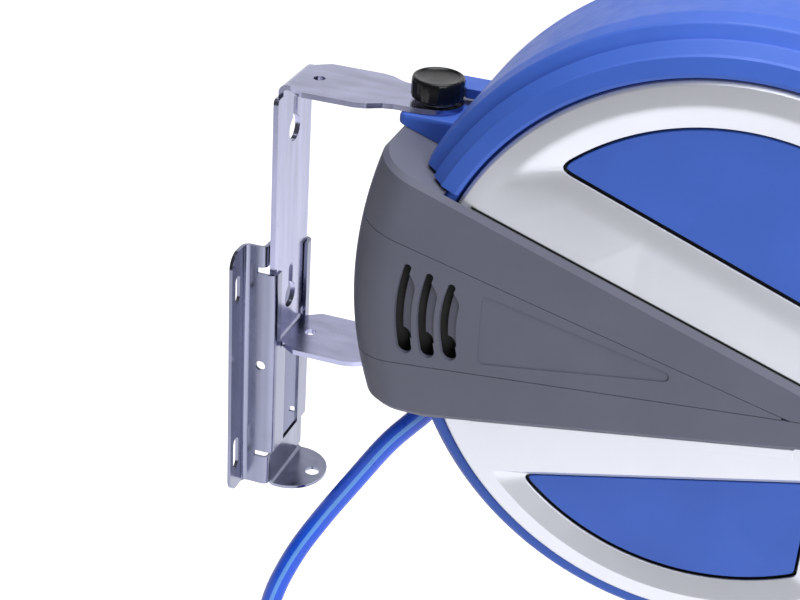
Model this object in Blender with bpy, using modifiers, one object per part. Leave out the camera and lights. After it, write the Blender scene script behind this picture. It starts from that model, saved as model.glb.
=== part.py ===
"""Air hose reel that hangs on a wall bracket and swivels about a clamped vertical pivot.

Lengths are in metres and +Z is up. The wall is the plane x = 0, the reel stands away from it
along +X, and the drum turns about an axle along Y. The origin is on the wall, at half the
height of the wall bracket.
"""

import math

import bmesh
import bpy
from mathutils import Euler, Vector

for stale in list(bpy.data.objects):
    bpy.data.objects.remove(stale, do_unlink=True)

# General
GAP = 0.0003
SEAM = 0.0004
TURN = 2 * math.pi

# Wall bracket: a pressed sheet with two screw flanges and a channel for the swivel bracket
WALL_SHEET = 0.002
WALL_BOTTOM = -0.080
WALL_TOP = 0.079
FLANGE_EDGE = 0.046
FLANGE_BEND = 0.031
CHANNEL_SIDE = 0.027
LIP_X = 0.0196
LIP_BOTTOM = -0.057
LIP_TOP = 0.062
LANCE = 0.004
UPPER_WEB_X = 0.0134
LOWER_WEB_X = 0.017
TAB_RADIUS = 0.022
TAB_HOLE = (0.036, 0.00425)
SLOT_Y = 0.0385

# Swivel bracket: one strip bent into a U
STRIP = 0.003
PLATE_X = 0.0165
ARM_TOP = 0.1721
ARM_BOTTOM = 0.0135
STRIP_BEND = 0.0035
WING_HALF = 0.024
ROOT_HALF = 0.0175
ARM_HALF = 0.0235
NECK_HALF = 0.016
ARM_END_RADIUS = 0.0145
ARM_BORE = 0.005
KEYHOLES = (0.142, 0.037)
KEYHOLE_RADIUS = 0.0075
KEYHOLE_SLOT = 0.003

# Swivel pivot
PIVOT_X = 0.099
PIVOT_BORE = 0.0043
PIN_RADIUS = 0.0039
KNOB_RADIUS = 0.0143
KNOB_BOTTOM = 0.1758
KNOB_TOP = 0.1875
NECK_TOP = ARM_TOP - STRIP / 2 - GAP
NECK_WIDTH = 0.036
NECK_CHAMFER = 0.003
BOSS_RADIUS = 0.011
BOSS_BOTTOM = 0.138

# Reel housing, turned about the axle
AXLE = Vector((0.2694, 0.0, 0.0837))
RIM_RADIUS = 0.163
SHELL = 0.0025
SIDE_WALL = 0.055
BEAD = 0.0573
AXLE_RADIUS = 0.008
RIM_STEPS = 48
COVER_FACE = 0.0611
COVER_FLAT = 0.1403
COVER_EDGE = ((0.1488, 0.0026), (0.1497, 0.0036), (0.1497, 0.0046))
WINDOW_RADIUS = 0.1365
WINDOW_DEPTH = 0.0037
GUARD_RADIUS = 0.177
GUARD_END = math.radians(26)
GUARD_CLEAR = 0.002
KEEPER_Y = (0.008, 0.026)
KEEPER_BOTTOM = 0.1744
KEEPER_TOP = 0.1800

# Belt: grey covers that wrap the wall end of the housing and taper along both sides
BELT_BACK = 0.073
BELT_HALF = 0.066
BELT_CORNER = 0.026
BELT_WALL = 0.0035
BELT_FLOOR = 0.018
BELT_TIP = Vector((0.318, 0.0, 0.0))
TOP_PLANE = (0.1931, -0.34)
SEAM_1 = (0.1455, -0.25)
SEAM_2 = (0.0391, 0.09)
BOTTOM_PLANE = (-0.0024, 0.165)
LOUVRE = (0.066, 0.1125)

# Hose outlet on the free side
OUTLET_ANGLE = math.radians(30)
ROLLER_RADIUS = 0.006
ROLLER_OFFSET = 0.0175
ROLLER_REACH = 0.181

# Drum
NEAR_FLANGE = (-0.040, -0.037)
FAR_FLANGE = (0.042, 0.045)
BARREL_RADIUS = 0.060
FLANGE_RADIUS = 0.140
WINDING_RADIUS = 0.096
SPRING_TURNS = 6
RATCHET_TEETH = 4
PAWL_PIVOT = (0.0, 0.062)
PAWL_LEAN = math.radians(50)

# Supply hose
HOSE_RADIUS = 0.00625
EXIT_DIRECTION = Vector((-0.6, 0.0, -0.8))
EXIT_AT_RIM = Vector((0.1239, -0.022, 0.0100))
GLAND_OUT = 0.012
COIL_RADIUS = 0.066
COIL_CENTRE = Vector((0.0895, -0.045, -0.305))
COIL_PITCH = 0.0145
COIL_SWEEP = math.radians(540)
COIL_POINTS = 24
HOSE_ROUTE = [
    (0.0912, -0.0230, -0.0325),
    (0.0701, -0.0240, -0.0670),
    (0.0534, -0.0270, -0.0950),
    (0.0397, -0.0340, -0.1210),
    (0.0295, -0.0410, -0.1500),
    (0.0245, -0.0445, -0.1850),
    (0.0235, -0.0450, -0.2250),
]

parts = bpy.data.collections.new("air_hose_reel")
tools = bpy.data.collections.new("cutters")
for group in (parts, tools):
    bpy.context.scene.collection.children.link(group)


# Materials
def finish(name, rgb, roughness, metallic=0.0):
    material = bpy.data.materials.new(name)
    material.use_nodes = True
    shader = material.node_tree.nodes["Principled BSDF"]
    shader.inputs["Base Color"].default_value = (*rgb, 1.0)
    shader.inputs["Roughness"].default_value = roughness
    shader.inputs["Metallic"].default_value = metallic
    material.diffuse_color = (*rgb, 1.0)
    return material


ZINC = (0.62, 0.62, 0.72)
BLUE = (0.05, 0.13, 0.52)
BLACK = (0.012, 0.013, 0.016)
GREY = (0.13, 0.14, 0.18)
SILVER = (0.70, 0.71, 0.76)
STEEL = (0.55, 0.55, 0.57)
BRASS = (0.70, 0.52, 0.22)


# Objects
def empty(name, at, parent=None, turn=0.0):
    """A frame for a joint or a group, at a world point; turn is about Y."""
    frame = bpy.data.objects.new(name, None)
    parts.objects.link(frame)
    frame.parent = parent
    frame.location = Vector(at) - (world_of(parent) if parent else Vector())
    frame.rotation_euler = (0.0, turn, 0.0)
    frame["world"] = tuple(at)
    return frame


def world_of(frame):
    return Vector(frame["world"])


def place(name, mesh, at, parent, material, turn=(0.0, 0.0, 0.0)):
    """Puts mesh, drawn about its own origin, at the world point at."""
    mesh.name = name
    obj = bpy.data.objects.new(name, mesh)
    parts.objects.link(obj)
    obj.parent = parent
    obj.location = Vector(at) - (world_of(parent) if parent else Vector())
    obj.rotation_euler = turn
    if material:
        mesh.materials.append(material)
    return obj


def as_cutter(obj):
    """Makes obj a tool that shapes other pieces and isn't a piece itself."""
    parts.objects.unlink(obj)
    tools.objects.link(obj)
    obj.hide_render = True
    obj.display_type = "WIRE"
    return obj


def boolean(obj, tool, operation="DIFFERENCE"):
    modifier = obj.modifiers.new(operation.lower(), "BOOLEAN")
    modifier.operation = operation
    modifier.solver = "EXACT"
    modifier.object = tool


def solid(name, bm, at, parent, material, smooth=True):
    """Turns a bmesh that was drawn in world metres into an object whose origin is at."""
    bmesh.ops.recalc_face_normals(bm, faces=bm.faces)
    bmesh.ops.translate(bm, verts=bm.verts, vec=-Vector(at))
    mesh = bpy.data.meshes.new(name)
    bm.to_mesh(mesh)
    bm.free()
    if smooth:
        mesh.shade_smooth()
        mesh.set_sharp_from_angle(angle=math.radians(35))
    return place(name, mesh, at, parent, material)


# Basic forms, drawn in world metres
def box(low, high):
    bm = bmesh.new()
    bmesh.ops.create_cube(bm, size=1.0)
    size = Vector(high) - Vector(low)
    bmesh.ops.scale(bm, vec=size, verts=bm.verts)
    bmesh.ops.translate(bm, vec=(Vector(high) + Vector(low)) / 2, verts=bm.verts)
    return bm


def rod(start, end, radius, sides=32, end_radius=None):
    """A cylinder or cone between two points."""
    start, end = Vector(start), Vector(end)
    bm = bmesh.new()
    bmesh.ops.create_cone(
        bm,
        cap_ends=True,
        segments=sides,
        radius1=radius,
        radius2=radius if end_radius is None else end_radius,
        depth=(end - start).length,
    )
    turn = (end - start).to_track_quat("Z", "Y").to_matrix()
    bmesh.ops.rotate(bm, matrix=turn, verts=bm.verts)
    bmesh.ops.translate(bm, vec=(start + end) / 2, verts=bm.verts)
    return bm


def prism(outline, axis, low, high):
    """A closed outline pushed along X, Y or Z; its points give the other two coordinates."""
    bm = bmesh.new()
    spread = {"X": lambda p: (low, *p), "Y": lambda p: (p[0], low, p[1]), "Z": lambda p: (*p, low)}
    face = bm.faces.new([bm.verts.new(spread[axis](p)) for p in outline])
    push = Vector([high - low if axis == name else 0.0 for name in "XYZ"])
    moved = bmesh.ops.extrude_face_region(bm, geom=[face])["geom"]
    bmesh.ops.translate(bm, vec=push, verts=[v for v in moved if isinstance(v, bmesh.types.BMVert)])
    return bm


def arc(centre, radius, start, end, steps):
    """Points on an arc of a circle, ends included."""
    angles = [start + (end - start) * k / steps for k in range(steps + 1)]
    return [(centre[0] + radius * math.cos(a), centre[1] + radius * math.sin(a)) for a in angles]


def circle(centre, radius, steps):
    return arc(centre, radius, 0.0, TURN, steps)[:-1]


def capsule(start, end, radius, steps=8):
    """The outline of a slot with round ends, from one end's centre to the other's."""
    along = math.atan2(end[1] - start[1], end[0] - start[0])
    quarter = math.pi / 2
    return arc(end, radius, along - quarter, along + quarter, steps) + arc(
        start, radius, along + quarter, along + 3 * quarter, steps
    )


def turned(name, profile, at, axis, parent, material, steps=40, closed=False):
    """A turned piece: profile is (radius, height along axis), down the outer side first."""
    mesh = bpy.data.meshes.new(name)
    edges = [(k, k + 1) for k in range(len(profile) - 1)]
    if closed:
        edges.append((len(profile) - 1, 0))
    mesh.from_pydata([(r, 0.0, h) for r, h in profile], edges, [])
    turn = Vector(axis).to_track_quat("Z", "Y").to_euler()
    obj = place(name, mesh, at, parent, material, turn)
    screw = obj.modifiers.new("turned", "SCREW")
    screw.steps = steps
    screw.render_steps = steps
    screw.use_merge_vertices = True
    screw.merge_threshold = 0.00001
    screw.use_smooth_shade = True
    return obj


def ring(name, inner, outer, low, high, at, axis, parent, material, steps=40):
    """A plain turned ring between two radii and two heights."""
    profile = [(outer, high), (outer, low), (inner, low), (inner, high)]
    return turned(name, profile, at, axis, parent, material, steps, closed=True)


def join_flat_faces(bm):
    bm.normal_update()
    limit = math.radians(0.3)
    bmesh.ops.dissolve_limit(bm, angle_limit=limit, verts=bm.verts, edges=bm.edges)


def sheet(name, bm, thickness, at, parent, material, mirror=False, tidy=False):
    """An open surface, drawn at mid thickness, made into a sheet."""
    bmesh.ops.remove_doubles(bm, verts=bm.verts, dist=0.00001)
    bmesh.ops.recalc_face_normals(bm, faces=bm.faces)
    if tidy:
        join_flat_faces(bm)
    obj = solid(name, bm, at, parent, material)
    if mirror:
        half = obj.modifiers.new("mirror", "MIRROR")
        half.use_axis = (False, True, False)
        half.merge_threshold = 0.00001
    skin = obj.modifiers.new("sheet", "SOLIDIFY")
    skin.thickness = thickness
    skin.offset = 0.0
    skin.use_even_offset = True
    return obj


def filled(outlines):
    """A flat face in XY with its outline first and then its holes."""
    bm = bmesh.new()
    edges = []
    for outline in outlines:
        verts = [bm.verts.new((*p, 0.0)) for p in outline]
        edges += [bm.edges.new((a, b)) for a, b in zip(verts, verts[1:] + verts[:1])]
    bmesh.ops.triangle_fill(bm, use_beauty=True, edges=edges)
    return bm


def tube(name, points, radius, parent, material, resolution=2):
    """A bevelled curve along points given in world metres; its origin is the first point."""
    curve = bpy.data.curves.new(name, "CURVE")
    curve.dimensions = "3D"
    curve.bevel_depth = radius
    curve.bevel_resolution = resolution
    curve.use_fill_caps = True
    curve.twist_mode = "MINIMUM"
    spline = curve.splines.new("POLY")
    spline.points.add(len(points) - 1)
    for point, spot in zip(spline.points, points):
        point.co = (*(Vector(spot) - Vector(points[0])), 1.0)
    curve.materials.append(material)
    obj = bpy.data.objects.new(name, curve)
    parts.objects.link(obj)
    obj.parent = parent
    obj.location = Vector(points[0]) - (world_of(parent) if parent else Vector())
    return obj


def around(radius, angle, y=0.0):
    """A world point at a radius and an angle about the axle; 0 is +X and 90 degrees is up."""
    return AXLE + Vector((radius * math.cos(angle), y, radius * math.sin(angle)))


def wall_bracket(parent, material):
    """The near half of the sheet at mid thickness, cell by cell, mirrored about y = 0."""
    bm = bmesh.new()

    def strip(path, low, high):
        for (xa, ya), (xb, yb) in zip(path, path[1:]):
            corners = [(xa, ya, low), (xb, yb, low), (xb, yb, high), (xa, ya, high)]
            bm.faces.new([bm.verts.new(c) for c in corners])

    mid = WALL_SHEET / 2
    side = -CHANNEL_SIDE
    bend = arc((0.005, -FLANGE_BEND), 0.004, math.pi, math.pi / 2, 2)
    flange = [(mid, -FLANGE_EDGE), *bend, (0.009, side)]
    fold = arc((LIP_X - 0.0034, side + 0.0034), 0.0034, -math.pi / 2, 0.0, 3)
    lip = [flange[-1], *fold, (LIP_X, -0.019)]
    wide_lip = [lip[-1], (LIP_X, -0.011)]
    seat = ARM_BOTTOM - STRIP / 2 - GAP
    tab_angles = [math.radians(a) for a in (84, 66, 44, 22, 0)]
    tab_half = [-TAB_RADIUS * math.sin(a) for a in tab_angles]

    def web(x):
        corner = arc((x - 0.003, side + 0.003), 0.003, -math.pi / 2, 0.0, 3)
        return [flange[-1], *corner, *[(x, y) for y in tab_half]]

    levels = [WALL_BOTTOM, LIP_BOTTOM - LANCE, LIP_BOTTOM, seat, LIP_TOP, LIP_TOP + LANCE, WALL_TOP]
    for low, high in zip(levels, levels[1:]):
        strip(flange, low, high)
    strip(web(LOWER_WEB_X), levels[0], levels[1])
    strip(lip + wide_lip[1:], levels[2], levels[3])
    strip(lip, levels[3], levels[4])
    strip(web(UPPER_WEB_X), levels[5], levels[6])

    # The tab is folded forward from the lower web, and its edge is a half circle
    fold = arc((LOWER_WEB_X + 0.003, WALL_BOTTOM), 0.003, math.pi, 1.5 * math.pi, 2)
    rows = [[(x, y, z) for y in tab_half] for x, z in fold]
    end = [TAB_RADIUS + TAB_RADIUS * math.cos(a) for a in tab_angles]
    rows.append([(x, y, fold[-1][1]) for x, y in zip(end, tab_half)])
    for lower, upper in zip(rows, rows[1:]):
        for a, b, c, d in zip(lower, lower[1:], upper[1:], upper):
            bm.faces.new([bm.verts.new(p) for p in (a, b, c, d)])
    bmesh.ops.remove_doubles(bm, verts=bm.verts, dist=0.00001)
    corners = [v for v in bm.verts if v.co.y < -0.0455 and len(v.link_edges) == 2]
    bmesh.ops.bevel(bm, geom=corners, affect="VERTICES", offset=0.009, segments=3, profile=0.5)
    obj = sheet("wall_bracket", bm, WALL_SHEET, (0, 0, 0), parent, material, True, True)

    for y in (-SLOT_Y, SLOT_Y):
        for z, half, radius in ((0.055, 0.0055, 0.003), (-0.055, 0.007, 0.0035)):
            slot = prism(capsule((y, z - half), (y, z + half), radius), "X", -0.01, 0.01)
            boolean(obj, as_cutter(solid("cut_slot", slot, (0, 0, 0), None, None)))
    hole = rod((0.012, -0.04, 0.002), (0.012, 0.04, 0.002), 0.003, 16)
    boolean(obj, as_cutter(solid("cut_side_holes", hole, (0, 0, 0), None, None)))
    hole = rod((TAB_HOLE[0], 0, -0.09), (TAB_HOLE[0], 0, -0.075), TAB_HOLE[1], 24)
    boolean(obj, as_cutter(solid("cut_tab_hole", hole, (0, 0, 0), None, None)))
    return obj


def swivel_bracket(parent, material):
    """A flat blank, cut to its outline and holes and then bent twice into a U."""
    straight = (ARM_TOP - ARM_BOTTOM) / 2 - STRIP_BEND
    bend_length = STRIP_BEND * math.pi / 2
    bend_end = straight + bend_length
    mid_z = (ARM_TOP + ARM_BOTTOM) / 2

    def on_arm(x):
        """The distance along the blank of a point of an arm at x."""
        return bend_end + x - PLATE_X - STRIP_BEND

    pivot = on_arm(PIVOT_X)
    tip = arc((pivot, 0.0), ARM_END_RADIUS, math.radians(80), 0.0, 6)
    quarter = [
        (straight - 0.002, WING_HALF),
        (straight - 0.002, ROOT_HALF),
        (on_arm(0.0215), ROOT_HALF),
        (on_arm(0.0300), ARM_HALF),
        (on_arm(0.0600), ARM_HALF),
        (on_arm(0.0665), ARM_HALF - 0.0015),
        (on_arm(0.0740), NECK_HALF + 0.0015),
        (on_arm(0.0800), NECK_HALF),
        (pivot - 0.004, NECK_HALF - 0.0005),
        *tip,
    ]
    lower = [(s, -y) for s, y in reversed(quarter[:-1])]
    half = quarter + lower
    outline = half + [(-s, -y) for s, y in half]
    holes = [circle((side * pivot, 0.0), ARM_BORE, 24) for side in (1, -1)]
    holes += [circle((side * on_arm(0.0315), 0.0), 0.0033, 16) for side in (1, -1)]
    for centre in [height - mid_z for height in KEYHOLES]:
        notch = math.asin(KEYHOLE_SLOT / KEYHOLE_RADIUS)
        round_part = arc((centre, 0.0), KEYHOLE_RADIUS, notch, TURN - notch, 14)
        slot_end = arc((centre + 0.0175, 0.0), KEYHOLE_SLOT, -math.pi / 2, math.pi / 2, 4)
        holes.append(round_part + slot_end)
    bm = filled([outline, *holes])

    cuts = [straight + bend_length * k / 3 for k in range(4)]
    for s in [side * cut for side in (1, -1) for cut in cuts]:
        geometry = bm.verts[:] + bm.edges[:] + bm.faces[:]
        bmesh.ops.bisect_plane(bm, geom=geometry, plane_co=(s, 0, 0), plane_no=(1, 0, 0))
    for vert in bm.verts:
        s, y = vert.co.x, vert.co.y
        side = 1 if s > 0 else -1
        reach = abs(s)
        if reach <= straight:
            x, rise = PLATE_X, reach
        elif reach <= bend_end:
            angle = (reach - straight) / STRIP_BEND
            x = PLATE_X + STRIP_BEND * (1 - math.cos(angle))
            rise = straight + STRIP_BEND * math.sin(angle)
        else:
            x, rise = PLATE_X + STRIP_BEND + reach - bend_end, straight + STRIP_BEND
        vert.co = (x, y, mid_z + side * rise)
    at = (PLATE_X, 0.0, ARM_BOTTOM)
    return sheet("swivel_bracket", bm, STRIP, at, parent, material, tidy=True)


def clamp_knob(parent, material):
    """A fluted knob with a dished top and a blind hole for its stud."""
    columns, lobes = 40, 20
    hole_top = KNOB_TOP - 0.0045
    rows = [
        (PIVOT_BORE, hole_top, 0.0),
        (PIVOT_BORE, KNOB_BOTTOM, 0.0),
        (KNOB_RADIUS - 0.0015, KNOB_BOTTOM, 0.0),
        (KNOB_RADIUS, KNOB_BOTTOM + 0.0012, 0.0006),
        (KNOB_RADIUS, KNOB_TOP - 0.0016, 0.0006),
        (KNOB_RADIUS - 0.0006, KNOB_TOP - 0.0004, 0.0),
        (KNOB_RADIUS - 0.0015, KNOB_TOP, 0.0),
        (KNOB_RADIUS - 0.0028, KNOB_TOP - 0.0006, 0.0),
        (KNOB_RADIUS * 0.5, KNOB_TOP - 0.0014, 0.0),
    ]
    bm = bmesh.new()
    rings = []
    for radius, z, flute in rows:
        spots = []
        for k in range(columns):
            angle = TURN * k / columns
            r = radius - flute * (0.5 - 0.5 * math.cos(lobes * angle))
            spots.append(bm.verts.new((PIVOT_X + r * math.cos(angle), r * math.sin(angle), z)))
        rings.append(spots)
    for lower, upper in zip(rings, rings[1:]):
        for k in range(columns):
            nxt = (k + 1) % columns
            bm.faces.new((lower[k], lower[nxt], upper[nxt], upper[k]))
    bm.faces.new(rings[0])
    bm.faces.new(rings[-1])
    return solid("clamp_knob", bm, (PIVOT_X, 0, KNOB_BOTTOM), parent, material)


def hex_nut(name, low, high, parent, material):
    """A hexagon nut about the swivel axis, 13 mm across flats."""
    hexagon = circle((PIVOT_X, 0.0), 0.0075, 6)
    obj = solid(name, prism(hexagon, "Z", low, high), (PIVOT_X, 0, low), parent, material, False)
    bore = rod((PIVOT_X, 0, low - 0.01), (PIVOT_X, 0, high + 0.01), PIVOT_BORE, 20)
    boolean(obj, as_cutter(solid("cut_" + name, bore, (PIVOT_X, 0, low), None, None)))
    return obj


def pivot_neck(parent, material):
    """The bar that the upper arm sits on, with a boss below it that takes the stud."""
    half = NECK_WIDTH / 2
    corner = 0.004
    left = PIVOT_X - 0.0155
    near = arc((left + corner, -half + corner), corner, 1.5 * math.pi, math.pi, 3)
    outline = [(0.130, -half), *near, *[(x, -y) for x, y in reversed(near)], (0.130, half)]
    bar = prism(outline, "Z", 0.140, NECK_TOP)
    top_edges = [e for e in bar.edges if min(v.co.z for v in e.verts) > NECK_TOP - GAP]
    top_edges = [e for e in top_edges if min(v.co.x for v in e.verts) < 0.129]
    bmesh.ops.bevel(bar, geom=top_edges, offset=NECK_CHAMFER, segments=1, affect="EDGES")
    keep_above(bar, (TOP_PLANE[0] + GAP, TOP_PLANE[1]))
    obj = solid("pivot_neck", bar, (PIVOT_X, 0, NECK_TOP), parent, material)
    boss = rod((PIVOT_X, 0, BOSS_BOTTOM), (PIVOT_X, 0, NECK_TOP - 0.003), BOSS_RADIUS, 32)
    boolean(obj, as_cutter(solid("add_boss", boss, (PIVOT_X, 0, 0), None, None)), "UNION")
    guard = rod(AXLE - Vector((0, 0.08, 0)), AXLE + Vector((0, 0.08, 0)), GUARD_RADIUS + 0.0005, 96)
    boolean(obj, as_cutter(solid("cut_neck_end", guard, AXLE, None, None)))
    bore = rod((PIVOT_X, 0, BOSS_BOTTOM - 0.01), (PIVOT_X, 0, NECK_TOP + 0.01), PIVOT_BORE, 24)
    boolean(obj, as_cutter(solid("cut_neck_bore", bore, (PIVOT_X, 0, 0), None, None)))
    return obj


# Planes of the belt, each a line z = offset + slope * x pushed along Y
def bisect(bm, point, normal):
    """Removes what lies beyond a plane and closes the cut."""
    geometry = bm.verts[:] + bm.edges[:] + bm.faces[:]
    bmesh.ops.bisect_plane(
        bm, geom=geometry, dist=0.000001, plane_co=point, plane_no=normal, clear_outer=True
    )
    bmesh.ops.holes_fill(bm, edges=[e for e in bm.edges if e.is_boundary])


def keep_below(bm, line):
    bisect(bm, (0, 0, line[0]), Vector((-line[1], 0, 1)))


def keep_above(bm, line):
    bisect(bm, (0, 0, line[0]), Vector((line[1], 0, -1)))


def moved(line, rise):
    """The same line moved square to itself, up if rise is positive."""
    return (line[0] + rise * math.hypot(1, line[1]), line[1])


def nose_x(x, z):
    """The belt's wall end bows towards the wall at mid height."""
    bow = (2.16 if z > 0.085 else 2.6) * (z - 0.085) ** 2
    share = min(max((0.135 - x) / 0.036, 0.0), 1.0)
    return x + bow * share * share * (3 - 2 * share)


def belt_block(inset, end, low=-0.02, high=0.21):
    """The belt as a solid: its plan outline, inset all round, pushed up and bowed."""
    corner = BELT_CORNER - inset
    half = BELT_HALF - inset
    side = [(x, -half) for x in (end, 0.135, 0.123, 0.111)]
    near = arc((BELT_BACK + BELT_CORNER, -half + corner), corner, 1.5 * math.pi, math.pi, 6)
    plan = side + near + [(x, -y) for x, y in reversed(side + near)]
    bm = prism(plan, "Z", low, high)
    for k in range(1, 9):
        z = low + (high - low) * k / 9
        geometry = bm.verts[:] + bm.edges[:] + bm.faces[:]
        bmesh.ops.bisect_plane(bm, geom=geometry, plane_co=(0, 0, z), plane_no=(0, 0, 1))
    for vert in bm.verts:
        vert.co.x = nose_x(vert.co.x, vert.co.z)
    return bm


def tip_planes():
    """Planes round the tapered end of the belt, from its top line to its bottom line."""
    x = BELT_TIP.x
    top = TOP_PLANE[0] + TOP_PLANE[1] * x
    bottom = BOTTOM_PLANE[0] + BOTTOM_PLANE[1] * x
    centre = Vector((x, 0, (top + bottom) / 2))
    radius = (top - bottom) / 2 * 0.955
    planes = []
    for k in range(1, 8):
        angle = math.radians(72 - 19.5 * k)
        normal = Vector((math.cos(angle), 0, math.sin(angle)))
        planes.append((centre + radius * normal, normal))
    return planes


def belt_panel(name, above, below, parent, material):
    """One of the three belt covers: the block between lines, hollowed and fitted to the disc."""
    bm = belt_block(0.0, 0.40)
    for line in above:
        keep_above(bm, line)
    for line in below:
        keep_below(bm, line)
    for point, normal in tip_planes():
        bisect(bm, point, normal)
    join_flat_faces(bm)
    rims = []
    for edge in bm.edges:
        slopes = [abs(face.normal.z) > 0.9 for face in edge.link_faces]
        if slopes[0] != slopes[1]:
            rims.append(edge)
    outer_rims = [edge for edge in rims if is_outer_rim(edge)]
    bmesh.ops.bevel(bm, geom=outer_rims, offset=0.0025, segments=2, profile=0.5, affect="EDGES")
    at = (BELT_BACK, 0.0, above[0][0] + above[0][1] * BELT_BACK)
    obj = solid(name, bm, at, parent, material)
    cavity = belt_block(BELT_WALL, 0.45)
    keep_below(cavity, moved(TOP_PLANE, -BELT_WALL))
    keep_above(cavity, moved(BOTTOM_PLANE, BELT_WALL))
    keep_above(cavity, (BELT_FLOOR + BELT_WALL, 0.0))
    join_flat_faces(cavity)
    boolean(obj, as_cutter(solid("cut_" + name, cavity, at, None, None)))
    disc = rod(AXLE - Vector((0, 0.0627, 0)), AXLE + Vector((0, 0.0627, 0)), RIM_RADIUS + 0.0015, 96)
    boolean(obj, as_cutter(solid("cut_disc_" + name, disc, AXLE, None, None)))
    return obj


def is_outer_rim(edge):
    """Whether an edge lies on the belt's top line or bottom line, not on a seam."""
    middle = (edge.verts[0].co + edge.verts[1].co) / 2
    top = TOP_PLANE[0] + TOP_PLANE[1] * middle.x
    bottom = max(BELT_FLOOR, BOTTOM_PLANE[0] + BOTTOM_PLANE[1] * middle.x)
    return abs(middle.z - top) < 0.0003 or abs(middle.z - bottom) < 0.0003


def both_sides(name, outline, depth_from, depth_to):
    """Tools on the near and the far side, between two distances from the middle plane."""
    tools_made = []
    for side, word in ((-1, "near"), (1, "far")):
        low, high = sorted((side * depth_from, side * depth_to))
        bm = prism(outline, "Y", low, high)
        tools_made.append(as_cutter(solid(f"{name}_{word}", bm, (0, 0, 0), None, None)))
    return tools_made


def vent_outlines():
    """Three tall slots that bow towards the wall, as outlines in XZ."""
    outlines = []
    for top_x, top_z, bottom_x, bottom_z in (
        (0.1110, 0.1065, 0.1095, 0.0600),
        (0.1232, 0.1037, 0.1222, 0.0603),
        (0.1355, 0.1003, 0.1345, 0.0617),
    ):
        radius = 0.0036
        centres = []
        for k in range(5):
            t = k / 4
            bow = 0.0028 * (1 - (2 * t - 1) ** 2)
            centres.append((top_x + (bottom_x - top_x) * t - bow, top_z + (bottom_z - top_z) * t))
        left = [(x - radius, z) for x, z in centres]
        right = [(x + radius, z) for x, z in reversed(centres)]
        cap_top = arc(centres[0], radius, 0.0, math.pi, 4)[1:-1]
        cap_bottom = arc(centres[-1], radius, math.pi, TURN, 4)[1:-1]
        outlines.append(left + cap_bottom + right + cap_top)
    return outlines


def belt(parent, material):
    """The upper, middle and lower covers of the belt, with vents and a bare label recess."""
    upper = belt_panel(
        "belt_upper",
        [moved(SEAM_1, SEAM / 2), moved(SEAM_2, SEAM / 2)],
        [TOP_PLANE],
        parent,
        material,
    )
    bore = rod((PIVOT_X, 0, 0.13), (PIVOT_X, 0, 0.18), BOSS_RADIUS + GAP, 32)
    boolean(upper, as_cutter(solid("cut_boss_hole", bore, (PIVOT_X, 0, 0), None, None)))

    middle = belt_panel(
        "belt_middle",
        [moved(SEAM_2, SEAM / 2)],
        [moved(SEAM_1, -SEAM / 2)],
        parent,
        material,
    )
    for k, outline in enumerate(vent_outlines()):
        for tool in both_sides(f"cut_vent_{k}", outline, 0.050, 0.080):
            boolean(middle, tool)
    label = [
        *arc((0.1535, 0.0965), 0.003, math.pi, math.radians(78), 3),
        *arc((0.2480, 0.0765), 0.003, math.radians(78), math.radians(-85), 4),
        *arc((0.1540, 0.0625), 0.003, math.radians(275), math.pi, 3),
    ]
    for tool in both_sides("cut_label", label, 0.0654, 0.080):
        boolean(middle, tool)

    lower = belt_panel(
        "belt_lower",
        [BOTTOM_PLANE, (BELT_FLOOR, 0.0)],
        [moved(SEAM_2, -SEAM / 2)],
        parent,
        material,
    )
    bore = rod((PIVOT_X, 0, 0.0), (PIVOT_X, 0, 0.04), 0.0073, 24)
    boolean(lower, as_cutter(solid("cut_bush_hole", bore, (PIVOT_X, 0, 0), None, None)))
    boot = gland_rod(0.0096, -0.02, 2 * GLAND_OUT)
    boolean(lower, as_cutter(solid("cut_belt_boot", boot, EXIT_AT_RIM, None, None)))


def gland_rod(radius, start, end):
    """A rod along the hose's exit direction, measured outwards from the rim."""
    a = EXIT_AT_RIM + start * EXIT_DIRECTION
    b = EXIT_AT_RIM + end * EXIT_DIRECTION
    return rod(a, b, radius, 24)


def vent_louvre(word, side, parent, material):
    """A folded strip behind the vents, so that air passes and fingers don't."""
    bm = bmesh.new()
    first, step = 0.1020, 0.0124
    folds = []
    for k in range(4):
        folds.append((first + step * k, 0.0613))
        if k < 3:
            folds.append((first + step * k + 0.0085, 0.0586))
    for (xa, ya), (xb, yb) in zip(folds, folds[1:]):
        spots = [(xa, ya, LOUVRE[0]), (xb, yb, LOUVRE[0]), (xb, yb, LOUVRE[1]), (xa, ya, LOUVRE[1])]
        bm.faces.new([bm.verts.new((x, side * y, z)) for x, y, z in spots])
    return sheet(f"vent_louvre_{word}", bm, 0.001, (first, side * 0.06, 0.08), parent, material)


def housing(word, side, parent, material):
    """One half of the reel housing, split at the middle plane."""
    inner = RIM_RADIUS - SHELL - 0.0002
    wall = SIDE_WALL - SHELL
    profile = [
        (RIM_RADIUS, 0.047),
        (RIM_RADIUS, GAP / 2),
        (inner, GAP / 2),
        (inner, 0.047),
        (0.154, 0.0546),
        (0.150, wall),
        (AXLE_RADIUS + GAP, wall),
        (AXLE_RADIUS + GAP, SIDE_WALL),
        (0.1514, SIDE_WALL),
        (0.1525, BEAD),
        (0.1575, BEAD),
        (0.1615, 0.0535),
    ]
    axis = (0, side, 0)
    obj = turned(f"housing_{word}", profile, AXLE, axis, parent, material, 50, closed=True)
    slot = outlet_box((0.145, -0.0415, -0.0125), (0.175, 0.0415, 0.0125))
    boolean(obj, as_cutter(solid("cut_outlet_slot_" + word, slot, AXLE, None, None)))
    return obj


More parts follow.
